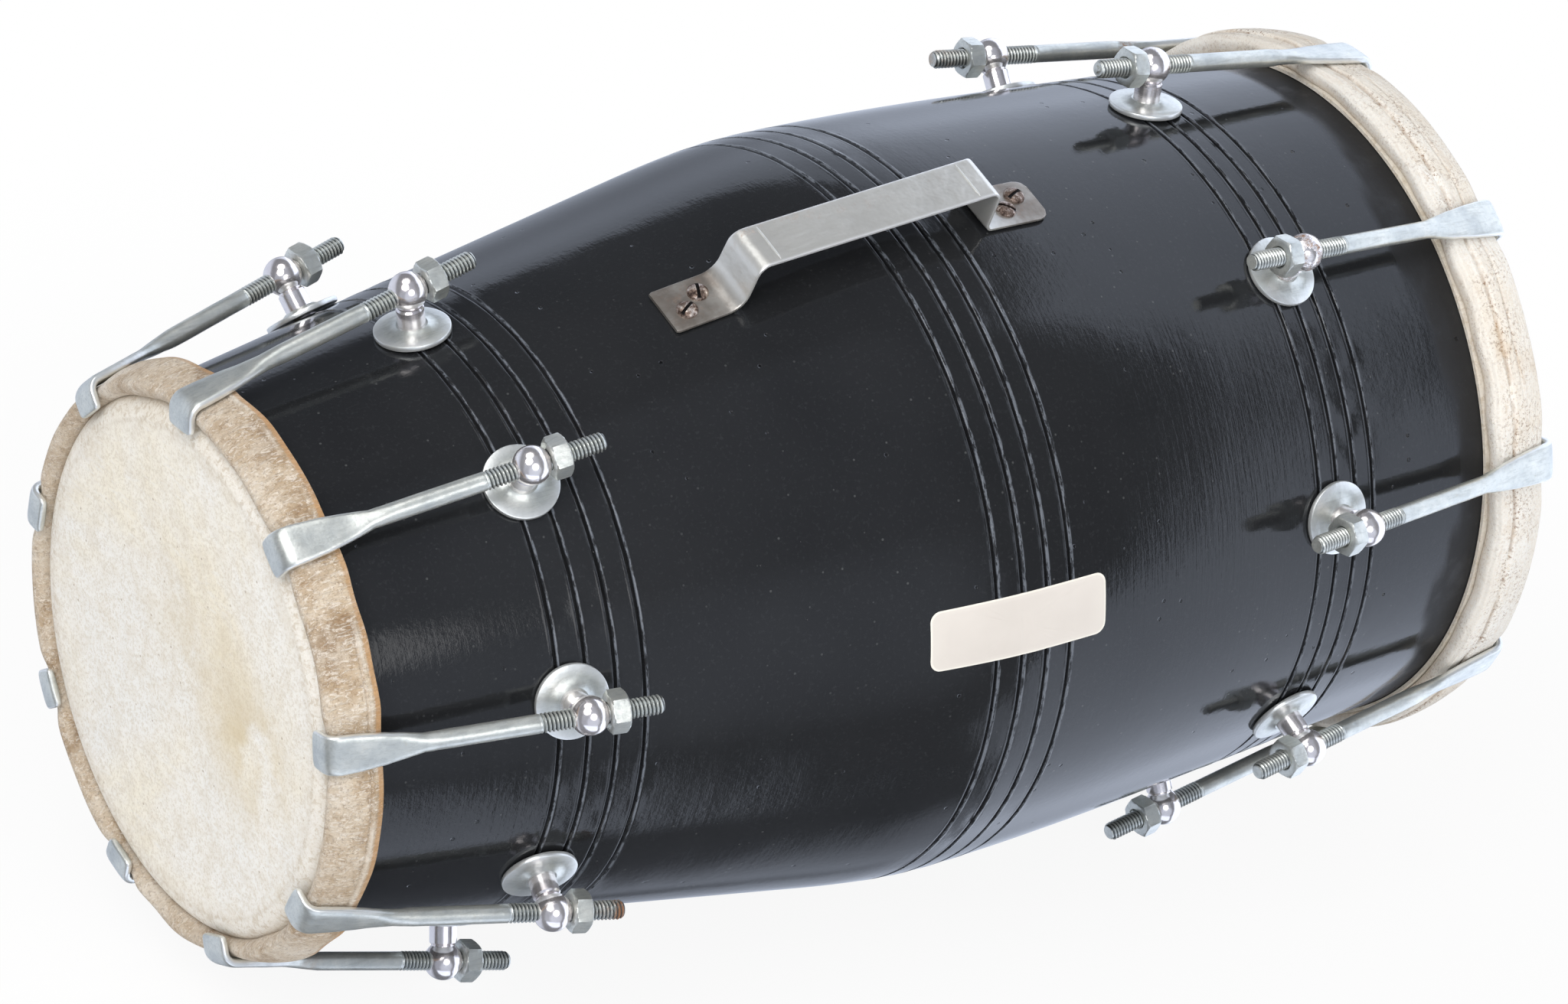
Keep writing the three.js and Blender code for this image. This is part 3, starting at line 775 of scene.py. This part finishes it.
def treble_hoop():
    head, width = TREBLE, TREBLE.hoop_width
    rings = Rings(360, "raw", "seam", "pale")
    angle = rings.angle
    soft = 1 - head.near_hook(angle, 0.105)
    lumps = wobble(angle, 5, 24, 31)
    edge_wave = 0.5 * wobble(angle, 6, 30, 33)
    stitched = smooth_step(-0.3, 0.6, wobble(angle, 2, 6, 35))
    # The roll at the front, from the membrane outwards, then the outside back to the raw edge.
    roll = 3.1 + 0.3 * lumps
    centre_d, centre_r = 4.2, head.skirt(0) + GAP + 2.6
    for a in np.radians(np.linspace(330, 128, 17)):
        lift = smooth_step(math.radians(260), math.radians(150), a)
        rings.add(
            centre_d + (roll + 1.1) * math.cos(a) - (1.9 * soft + 0.1) * lift * 0.8,
            centre_r + (roll + 0.6) * math.sin(a) * 0.8 + 0.6 * soft * lift,
            pale=0.5,
        )
    for s in np.linspace(0.10, 1.0, 30):
        swell = math.sin(math.pi * min(s * 0.86 + 0.12, 1.0))
        radius = head.hoop_top(s * width) + soft * (0.2 + 1.3 * swell + 0.3 * lumps)
        radius += stitched * (0.35 * bell(s, 0.76, 0.03) - 0.7 * bell(s, 0.70, 0.028))
        radius -= 0.25 * bell(s, 0.0, 0.16)
        radius -= 2.0 * smooth_step(0.94, 1.0, s) + 0.3 * smooth_step(0.82, 0.9, s)
        rings.add(
            s * width + edge_wave * smooth_step(0.5, 1, s),
            radius,
            raw=smooth_step(0.80, 0.85, s),
            seam=bell(s, 0.745, 0.035) * stitched,
            pale=0.35 * bell(s, 0.25, 0.3),
        )
    last = head.hoop_top(width) + soft * 0.3 - 2.3
    rear = head.skirt(width) + GAP
    for s in (0.35, 0.7, 1.0):
        bulge = 0.3 * math.sin(math.pi * s)
        rings.add(width + edge_wave + bulge, last + (rear - last) * s, raw=1.0)
    wrapped_hoop(head, rings, 9.0, SUEDE)


def bass_hoop():
    head, width = BASS, BASS.hoop_width
    rings = Rings(360, "seam", "pale", "under", "line")
    angle = rings.angle
    soft = 1 - head.near_hook(angle, 0.10)
    lumps = wobble(angle, 4, 18, 41)
    edge_wave = 0.55 * wobble(angle, 7, 34, 43)
    fold = 0.66 + 0.03 * wobble(angle, 2, 9, 45)
    second = 0.42 + 0.03 * wobble(angle, 2, 8, 46)
    folded = smooth_step(-0.5, 0.4, wobble(angle, 1, 5, 47))
    front, rear = head.skirt(0) + GAP, head.skirt(width) + GAP
    for a in np.radians(np.linspace(255, 120, 10)):
        depth = 2.9 + 2.9 * math.cos(a) - 0.6 * soft
        rings.add(depth, front + 1.6 + 2.2 * math.sin(a), pale=0.6)
    for s in np.linspace(0.08, 1.0, 60):
        swell = math.sin(math.pi * min(s * 0.8 + 0.15, 1.0))
        radius = head.hoop_top(s * width) + soft * (0.3 + 1.5 * swell + 0.2 * lumps)
        radius -= 0.7 * smooth_step(-0.03, 0.03, s - fold) + 0.5 * bell(s - fold, 0.045, 0.02)
        radius -= 0.35 * bell(s - second, 0.0, 0.022) * folded
        radius -= 1.6 * smooth_step(0.93, 1.0, s)
        rings.add(
            s * width + edge_wave * smooth_step(0.6, 1, s),
            radius,
            seam=bell(s - fold, 0.03, 0.10) + 0.5 * bell(s - second, 0.0, 0.08),
            pale=smooth_step(0.86, 0.95, s) + 0.4 * (1 - smooth_step(0.1, 0.3, s)),
            line=bell(s - fold, 0.03, 0.02) + 0.6 * bell(s - second, 0.0, 0.02) * folded,
        )
    last = head.hoop_top(width) + soft * 0.9 - 2.3
    # The rear wall down to the barrel is marked under, darkened as painted shade.
    for s in (0.35, 0.7, 1.0):
        bulge = 0.25 * math.sin(math.pi * s)
        rings.add(width + edge_wave + bulge, last + (rear - last) * s, under=s**3)
    wrapped_hoop(head, rings, 4.5, CREAM_HIDE)


# Eye posts

def eye_parts(head):
    """The ball and its stem, then the washers, the clamp nut and the tail, with materials."""
    ball = [
        (BALL_RADIUS * math.cos(a), BALL_HEIGHT + BALL_RADIUS * math.sin(a))
        for a in np.linspace(math.pi / 2 - 0.04, -0.80, 26)
    ]
    neck = [(4.15, 10.35), (3.85, 10.0), (3.85, 9.6), (4.2, 9.2), (STEM_RADIUS, 9.0)]
    stem = [(STEM_RADIUS, 2.6), (STEM_RADIUS, -WALL - 1.5)]
    to_rod = np.linalg.inv(head.post) @ head.rod
    bore = [(8, 6.6), (5.3, 6.6), (5.3, 4.05), (4.9, 3.75), (4.3, 3.45)]
    bore = [(-x, r) for x, r in bore] + bore[::-1]
    cutter = moved(revolved_x(bore, 32), to_rod)
    rim = (-0.35, GAP), (-0.1, GAP + 0.2), (0, GAP + 0.6), (0, 1.75), (-0.12, 1.98), (-0.4, 2.1)
    dish = [(8.6, 2.15), (6.6, 2.5), (5.4, 3.1), (5.0, 3.35)]
    eye = STEM_RADIUS + 0.1
    washer = [(eye, GAP), *((WASHER_RADIUS + r, z) for r, z in rim), *dish, (eye, 3.35)]
    plate = revolved_z(washer[::-1], 64)
    reach = np.hypot(plate["points"][:, 0], plate["points"][:, 1])
    # rim marks the washer's outer edge for a painted highlight.
    plate["attributes"] = {"rim": reach > WASHER_RADIUS - 0.5}
    top, bottom = -WALL - 1.4, -WALL - 2.9
    inner = [(STEM_RADIUS, top), (9, top), (9, bottom), (STEM_RADIUS, bottom)]
    tail = [(STEM_RADIUS, top + 1), (STEM_RADIUS, top - 9)]
    clamp = hex_nut(CLAMP_ACROSS, CLAMP_LENGTH, STEM_RADIUS)
    clamp = moved(clamp, move(0, 0, bottom - CLAMP_LENGTH) @ turn("Y", -math.pi / 2))
    zinc = [plate, revolved_z(inner, 40), clamp, revolved_z(tail, 24)]
    return carved(revolved_z(ball + neck + stem, 40), [cutter]), [(part, ZINC) for part in zinc]


def hex_nut(across, thickness, bore):
    """Chamfered hexagon nut along x from 0 to its thickness."""
    angle = circle(72)
    apothem = across / 2
    flats = apothem / np.cos((angle + math.pi / 6) % (math.pi / 3) - math.pi / 6)
    face = apothem * 0.94
    bevel = [(x, np.minimum(flats, face + x / 0.52)) for x in (0.15, 0.35, 0.6, 0.9)]
    profile = [(0.0, bore + 0.1), (0.0, face), *bevel, (thickness / 2, flats)]
    profile += [(thickness - x, r) for x, r in bevel[::-1]]
    profile += [(thickness, face), (thickness, bore + 0.45), (thickness - 0.45, bore), (0.45, bore)]
    return loft([ring(x, r, angle) for x, r in profile[::-1]], wrap=True)


# Hooks

def superellipse(width, height, power, count=28):
    """Closed outline with these half sizes: power 2 is an ellipse, more is boxier."""
    a = circle(count)
    c, s = np.cos(a), np.sin(a)
    return (
        width * np.sign(c) * np.abs(c) ** (2 / power),
        height * np.sign(s) * np.abs(s) ** (2 / power),
    )


def threaded_rod(start, end, nib):
    """Helical thread from start to end along x, with a chamfered free end at the end."""
    angle = circle(24)
    aside = angle - math.pi / 2
    rows, roots = [], []
    for x in np.arange(start, end, THREAD_PITCH / 8):
        phase = (x / THREAD_PITCH - angle / (2 * math.pi)) % 1
        root = 1 - np.clip((0.5 - np.abs(phase - 0.5)) * 2.6 - 0.15, 0, 1)
        run_in = smooth_step(start, start + 2.2, x)
        chamfer = 0.75 * smooth_step(end - 1.3, end, x)
        crest = ROD_RADIUS + (THREAD_CREST - ROD_RADIUS) * run_in
        radius = np.minimum(crest - root * THREAD_DEPTH * run_in, THREAD_CREST - chamfer)
        # roots marks the thread valleys, which the zinc darkens as painted shade.
        roots.append(root * run_in)
        rows.append(ring(x, radius, aside))
    tip = [(end, 2.3), (end + 0.02, 1.5)]
    tip += [(end + 0.1, 1.3), (end + 0.9, 1.1), (end + 1.0, 0.6)] if nib else [(end - 0.15, 0.5)]
    rows += [ring(x, r, aside) for x, r in tip]
    roots += [0.0] * len(tip)
    return loft(rows[::-1], attributes={"root": roots[::-1]})


def forged_blade(head, thread_start, skew, seed):
    """Plain rod, pinch, widening blade, bend over the hoop and the short leg."""
    r = np.random.default_rng(seed)
    corner, start, rod = head.corner, head.blade_start, ROD_RADIUS
    half_width, half_thick = BLADE_WIDTH / 2, BLADE_THICKNESS / 2
    bend = math.pi / 2 - head.slope
    setback = BEND_RADIUS * math.tan(bend / 2)
    stations = []

    def add(*station):
        """Middle x and z, turn, half width, half thickness and the outline's power."""
        stations.append(station)

    add(thread_start + 0.3, 0, 0, rod, rod, 2)
    for x in np.linspace(thread_start, start + 9, 6):
        add(x, 0, 0, rod + r.normal() * 0.02, rod + r.normal() * 0.02, 2)
    add(start + 6.5, 0, 0, rod, rod - 0.03, 2)
    add(start + 4.5, 0, 0, rod - 0.05, rod - 0.2, 2.1)
    add(start + 2.5, 0.05, 0, rod, rod - 0.45, 2.2)
    length = start - (corner + setback)
    pinch = 2.35
    for u in np.linspace(0, 1, 14):
        w = rod + (half_width - rod) * (1 - (1 - u) ** 1.55) + r.normal() * 0.03
        h = pinch + (half_thick - pinch) * min(1.0, u * 3.8) + r.normal() * 0.02
        add(start - u * length, 0.0, 0, w, h, 2.3 + 1.5 * min(1.0, u * 2))
    for u in np.linspace(0.1, 1, 10):
        a = u * bend
        x = corner + setback - BEND_RADIUS * math.sin(a)
        z = -BEND_RADIUS * (1 - math.cos(a))
        add(x, z, a, half_width, half_thick * (1 - 0.05 * math.sin(math.pi * u)), 3.8)
    run = LEG_LENGTH - half_thick - setback
    for u, shrink in ((0.3, 0), (0.6, 0.05), (0.8, 0.2), (0.9, 0.5), (0.96, 0.95), (1.0, 1.6)):
        end_x, end_z = x - run * u * math.cos(bend), z - run * u * math.sin(bend)
        add(end_x, end_z, bend, half_width - shrink, half_thick - 0.55 * shrink, 3.6)
    rows, rims = [], []
    for x, z, a, w, h, power in stations:
        across, thick = superellipse(w, h, power)
        # rim marks the blade's edges for a painted highlight.
        rims.append((np.abs(across) > 0.93 * w) * float(smooth_step(3.6, 4.6, w)))
        points = np.column_stack((x + thick * -math.sin(a), across, z + thick * math.cos(a)))
        share = float(smooth_step(start + 6, start - 12, x)) * skew
        rows.append(apply(turn("X", share), points))
    return loft(rows, attributes={"rim": rims})


def hook_parts(head, i):
    station = head.name, i
    seed = 100 * head.treble + i
    r = np.random.default_rng(seed)
    tail = ROD_TAIL + r.uniform(-1.0, 0.0)
    thread_start = -r.uniform(15.0, 18.0)
    skew = math.radians(BENT_BLADES.get(station, r.uniform(-2.5, 2.5)))
    spin = turn("X", r.uniform(0, 6.28))
    nib = station in NIBBED_RODS
    thread = moved(threaded_rod(thread_start, tail - 0.9 * nib, nib), spin)
    rust = RUSTY_THREADS.get(station, 0.04)
    thread["attributes"]["rust"] = rust * smooth_step(9, 22, thread["points"][:, 0])
    blade = forged_blade(head, thread_start, skew, seed)
    rust = RUSTY_BLADES.get(station, 0.05)
    blade["attributes"]["rust"] = rust * bell(blade["points"][:, 0], head.blade_start + 3, 3)
    return [(thread, ZINC), (blade, ZINC)]


def hardware(head):
    eye, clamping = eye_parts(head)
    seat = math.sqrt(BALL_RADIUS**2 - CROSS_HOLE**2) + GAP
    nut = moved(hex_nut(NUT_ACROSS, NUT_LENGTH, CROSS_HOLE), move(seat))
    for i in range(STATIONS):
        post, rod = head.station(i) @ head.post, head.station(i) @ head.rod
        rust = RUSTY_BALLS.get((head.name, i), 0.03)
        ball = {**eye, "attributes": {"rust": rust}}
        name = f"{head.name}_lug_{i + 1}"
        parts = [(ball, POLISHED), *clamping]
        piece(f"{name}_post", parts, "shell", [name], post, 30)
        name = f"{head.name}_hook_{i + 1}"
        piece(f"{name}_forged", hook_parts(head, i), name, [name], rod, 40)
        name = f"{head.name}_nut_{i + 1}"
        level = turn("X", -head.station_turn(i))
        piece(f"{name}_hex", [(nut, ZINC)], name, [name], rod @ level, 28)


# Carrying handle

def filleted(points, radii, steps=9):
    """Polyline with each inner corner turned into an arc."""
    out = [np.array(points[0], float)]
    for before, corner, after, radius in zip(points, points[1:], points[2:], radii):
        before, corner, after = (np.array(p, float) for p in (before, corner, after))
        a, b = before - corner, after - corner
        a, b = a / np.linalg.norm(a), b / np.linalg.norm(b)
        half = math.acos(np.clip(a @ b, -1, 1)) / 2
        setback = radius / math.tan(half)
        middle = corner + (a + b) / np.linalg.norm(a + b) * radius / math.sin(half)
        first, last = corner + a * setback - middle, corner + b * setback - middle
        start = math.atan2(first[1], first[0])
        sweep = math.atan2(last[1], last[0]) - start
        sweep = math.atan2(math.sin(sweep), math.cos(sweep))
        for t in np.linspace(0, 1, steps):
            angle = start + sweep * t
            out.append(middle + radius * np.array((math.cos(angle), math.sin(angle))))
    out.append(np.array(points[-1], float))
    return np.array(out)


def foot_height(x):
    return barrel_radius(x) + GAP + STRAP_THICKNESS / 2


def handle():
    corners = [
        (HANDLE_START, foot_height(HANDLE_START)),
        (171.6, foot_height(171.6)),
        (174.0, barrel_radius(173.0) + GRIP_RISE),
        (262.9, barrel_radius(262.5) + GRIP_RISE),
        (262.2, foot_height(262.5)),
        (HANDLE_END, foot_height(HANDLE_END)),
    ]
    line = filleted(corners, (7.5, 5.0, 2.4, 2.0))
    ends = [line[0] + (line[1] - line[0]) * t for t in (0, 0.02, 0.05, 0.5)]
    tail = [line[-1] + (line[-2] - line[-1]) * t for t in (0.4, 0.25, 0.16, 0.09, 0.04, 0.0)]
    line = np.array([*ends, *line[1:-1], *tail])
    ahead = np.roll(line, -1, 0) - line
    ahead[-1] = ahead[-2]
    behind = line - np.roll(line, 1, 0)
    behind[0] = ahead[0]
    along = ahead / np.linalg.norm(ahead, axis=1)[:, None]
    along += behind / np.linalg.norm(behind, axis=1)[:, None]
    along /= np.linalg.norm(along, axis=1)[:, None]
    rows = []
    half_width, half_thick = STRAP_WIDTH / 2, STRAP_THICKNESS / 2
    for (x, z), (ax, az) in zip(line, along):
        left, right = x - HANDLE_START, HANDLE_END - x
        w = half_width - 0.5 * bell(left, 0, 0.5)
        w -= 0.45 * smooth_step(170, 178, x) * smooth_step(264, 260, x)
        w -= 3.2 * (1 - math.sqrt(max(0.0, 1 - (1 - min(right / 4.5, 1)) ** 2)))
        across, thick = superellipse(w, half_thick, 7, 36)
        rows.append(np.column_stack((x - thick * az, across, z + thick * ax)))
    strap = loft(rows)
    x, y, _ = strap["points"].T
    rust = 0.8 * bell(x, 176, 2.2) * (y > 4) + 0.35 * bell(x, 158, 8) + 0.25 * bell(x, 277, 7)
    dull = 1 - smooth_step(168, 172, x) + smooth_step(264, 266, x)
    # rim marks the grip's long edges for a painted highlight.
    rim = smooth_step(7.7, 8.4, np.abs(y)) * smooth_step(172, 176, x) * smooth_step(264, 260, x)
    strap["attributes"] = {"rust": rust, "dull": dull, "rim": rim}
    parts = [(strap, STRAP)]

    def on_grip(x):
        share = (x - corners[2][0]) / (corners[3][0] - corners[2][0])
        return corners[2][1] + share * (corners[3][1] - corners[2][1]) + half_thick

    for x in (181.5, 255.5):
        lines = []
        for y in np.linspace(-7.6, 7.6, 12):
            size = 0.45 * math.sqrt(max(0.02, 1 - (abs(y) / 7.7) ** 8))
            across, up = superellipse(size, 0.28 * size / 0.45, 2, 12)
            lines.append(np.column_stack((x + across, np.full(12, y), on_grip(x) + up)))
        parts.append((loft(lines[::-1]), STRAP))
    slot = (-0.55, 1.6), (0.55, 1.6), (0.55, 4), (-0.55, 4)
    slot_tool = loft([[(x, y, z) for y, z in slot] for x in (5, -5)])
    dome = [(0.3, 2.42), (1.2, 2.36), (2.2, 2.1), (3.0, 1.65), (3.4, 1.2), (3.5, 0.7), (3.5, 0.3)]
    head = carved(revolved_z(dome, 36), [slot_tool])
    points = head["points"]
    in_slot = (np.abs(points[:, 1]) < 0.56) & (points[:, 2] < 1.65) & (points[:, 2] > 1.55)
    # The slot floor is marked root for painted shade.
    head["attributes"]["root"] = in_slot.astype(float)
    shank = revolved_z([(1.8, 0.4), (1.8, -6.5), (0.3, -8)], 20)
    feet = (HANDLE_START, 1, (0.5, 1.2)), (HANDLE_END, -1, (-0.75, 0.35))
    for outer, inward, turns in feet:
        x = outer + inward * 10.4
        rise = barrel_radius(outer + inward * 25) - barrel_radius(outer)
        tilt = math.atan2(rise * inward, 25)
        for side, slot_turn in zip((-1, 1), turns):
            place = x + side * 3.3
            seat = move(place, side * 2.5, foot_height(place)) @ turn("Y", -tilt)
            parts.append((moved(head, seat @ turn("Z", slot_turn)), SCREW))
            parts.append((moved(shank, seat), SCREW))
    matrix = turn("X", HANDLE_ANGLE)
    piece("handle_strap", parts, "shell", ["carry_handle"], matrix, 35)


# Label, bare

def label():
    length, width, corner = 65.0, 20.5, 3.6
    centre, centre_turn, mean_radius = 232.0, math.radians(82.2), 122
    outline = []
    for cx, cy, start in ((1, 1, 0), (-1, 1, 90), (-1, -1, 180), (1, -1, 270)):
        for a in np.radians(np.linspace(start, start + 90, 8)):
            u = cx * (length / 2 - corner) + corner * math.cos(a)
            outline.append((u, cy * (width / 2 - corner) + corner * math.sin(a)))
    dense = []
    for p, q in zip(outline, outline[1:] + outline[:1]):
        n = max(1, int(math.dist(p, q) / 1.2))
        dense += [(p[0] + (q[0] - p[0]) * k / n, p[1] + (q[1] - p[1]) * k / n) for k in range(n)]
    u, v = np.array(dense).T
    # Scale, height over the lacquer and share of rim of each ring, from the edge to the middle.
    steps = [(1.0, 0.03, 1), (1.0, 0.17, 1), (0.99, 0.22, 1), (0.965, 0.22, 1), (0.93, 0.22, 0.2)]
    steps += [(scale, 0.22, 0) for scale in (0.8, 0.65, 0.5, 0.35, 0.2, 0.1)]
    rows = []
    for scale, lift, _ in steps:
        x = centre + u * (1 - (1 - scale) * width / length if scale > 0.9 else scale)
        r = np.array([barrel_radius(d) - 0.12 * max(groove_drop(d), 0) for d in x]) + lift
        rows.append(ring(x, r, centre_turn + v * scale / mean_radius))
    made = loft(rows[::-1], attributes={"edge": [rim for _, _, rim in steps[::-1]]})
    piece("label", [(made, LABEL)], "shell", crease=60)


barrel()
membrane(TREBLE)
membrane(BASS)
treble_hoop()
bass_hoop()
hardware(TREBLE)
hardware(BASS)
handle()
label()


# Stage, light and camera

def floor():
    size = 8.0
    corners = [(-size, -size, 0), (size, -size, 0), (size, size, 0), (-size, size, 0)]
    made = mesh_object("floor", corners, [(0, 1, 2, 3)])
    made.location.z = -0.0002
    made.visible_glossy = False
    pale = (0.86, 0.86, 0.86, 1)
    f = Finish("pale_floor", Base_Color=pale, Roughness=0.9, Specular_IOR_Level=0.1)
    where = f.add("TexCoord", output="Object")
    far = f.add("VectorMath", {0: where}, "Value", operation="LENGTH")
    share = f.math("MULTIPLY_ADD", f.range(far, 0.22, 0.62), 0.08, 0.92)
    share = f.times(share, f.add("LightPath", output="Is Camera Ray"))
    white = f.add("Emission", {"Color": (1, 1, 1, 1), "Strength": 1.0})
    mixed = f.add("MixShader", {0: share, 1: f.shader.outputs[0], 2: white})
    f.put(f.tree.nodes["Material Output"].inputs["Surface"], mixed)
    made.data.materials.append(f.material)


def world():
    """White for the camera and an even glow for matt surfaces. For gloss, a dim room with a
    broad white table past the bass end, a wall on the treble side, the edge of the floor, a
    dim patch below, and two panels, one behind the drum and one in front of it."""
    made = bpy.data.worlds.new("studio")
    bpy.context.scene.world = made
    made.use_nodes = True
    w = Nodes(made.node_tree)
    where = w.add("TexCoord", output="Generated")

    def along(direction, low, high, to_low=0.0, to_high=1.0):
        inputs = {0: where, 1: Vector(direction).normalized()}
        share = w.add("VectorMath", inputs, "Value", operation="DOT_PRODUCT")
        return w.range(share, low, high, to_low, to_high)

    # The table's four edges are planes through the drum.
    table = along((1.15, 1, -0.25), -0.006, 0.006)
    for edge, soft in (((1.21, 1, -0.5), 0.006), ((1.52, 0, -1), 0.012), ((1.55, 0, 1), 0.02)):
        table = w.math("MINIMUM", table, along(edge, -soft, soft))
    table = w.times(table, along((0, 0.85, -0.52), 0.55, 0.75, 1.12, 0.56))
    table = w.times(table, along((1, 0, 0), 0.50, 0.57, 0.62, 1.0))
    wall = w.times(along((1, 0, 0), 0.0, 0.5, 0.26, 0.10), along((0, -1, 0), 0.0, 0.3))
    wall = w.times(wall, along((0, 0, 1), -0.62, -0.45))
    floor_edge = w.times(along((0, 0, -1), 0.5, 0.6), along((0, -1, 0), 0.25, 0.4))
    floor_edge = w.times(floor_edge, along((-1, 0, -0.4), -0.03, -0.012))
    below = w.times(along((0, 0, -1), 0.74, 0.82), along((0, 1, 0), -0.35, -0.05))
    below = w.times(below, along((1, 0, 0), 0.40, 0.48, 0.0, 0.45))
    behind = along(towards(116, -18), 0.45, 0.80, 0.0, 0.55)
    before = along(towards(-104, -10), 0.66, 0.92, 0.0, 0.48)
    level = ROOM_GLOW
    for seen in (table, wall, floor_edge, below, behind, before):
        level = w.math("MAXIMUM", level, seen)
    mirror = w.add("VectorMath", {0: (1.2, 1.33, 1.6), "Scale": level}, operation="SCALE")
    path = w.node("LightPath").outputs
    glow = w.mix(path["Is Glossy Ray"], (0.42, 0.42, 0.42, 1), mirror)
    background = w.tree.nodes["Background"].inputs
    w.put(background["Color"], w.mix(path["Is Camera Ray"], glow, (1, 1, 1, 1)))
    background["Strength"].default_value = 1.0


def lamp(name, azimuth, elevation, distance, size, power, mirrored=True):
    light = bpy.data.lights.new(name, "AREA")
    light.shape, light.size, light.energy = "DISK", size, power
    made = placed(name, light)
    back = towards(azimuth, elevation)
    made.location = Vector((0, 0, 0.12)) + back * distance
    made.visible_glossy = mirrored
    made.rotation_mode = "QUATERNION"
    made.rotation_quaternion = back.to_track_quat("Z", "Y")


def camera():
    data = bpy.data.cameras.new("camera")
    data.sensor_width = SENSOR_WIDTH
    data.lens = SENSOR_WIDTH * FOCAL_PIXELS / PHOTO_WIDTH
    data.clip_start, data.clip_end = 0.05, 50
    made = placed("camera", data)
    turned = Euler([math.radians(a) for a in CAMERA_TURN]).to_matrix().to_4x4()
    place = DRUM @ move(*CAMERA_PLACE) @ np.array(turned)
    place[:3, :3] *= 1000
    made.matrix_world = Matrix(place.tolist())
    bpy.context.scene.camera = made


floor()
world()
lamp("key", -150, 42, 1.8, 1.1, 14)
lamp("fill", -105, 18, 2.0, 1.2, 7.5)
lamp("top", 178, 70, 1.8, 1.2, 6)
lamp("side", -62, 12, 1.9, 1.2, 6.5, mirrored=False)
camera()

scene = bpy.context.scene
scene.view_settings.view_transform = "Standard"
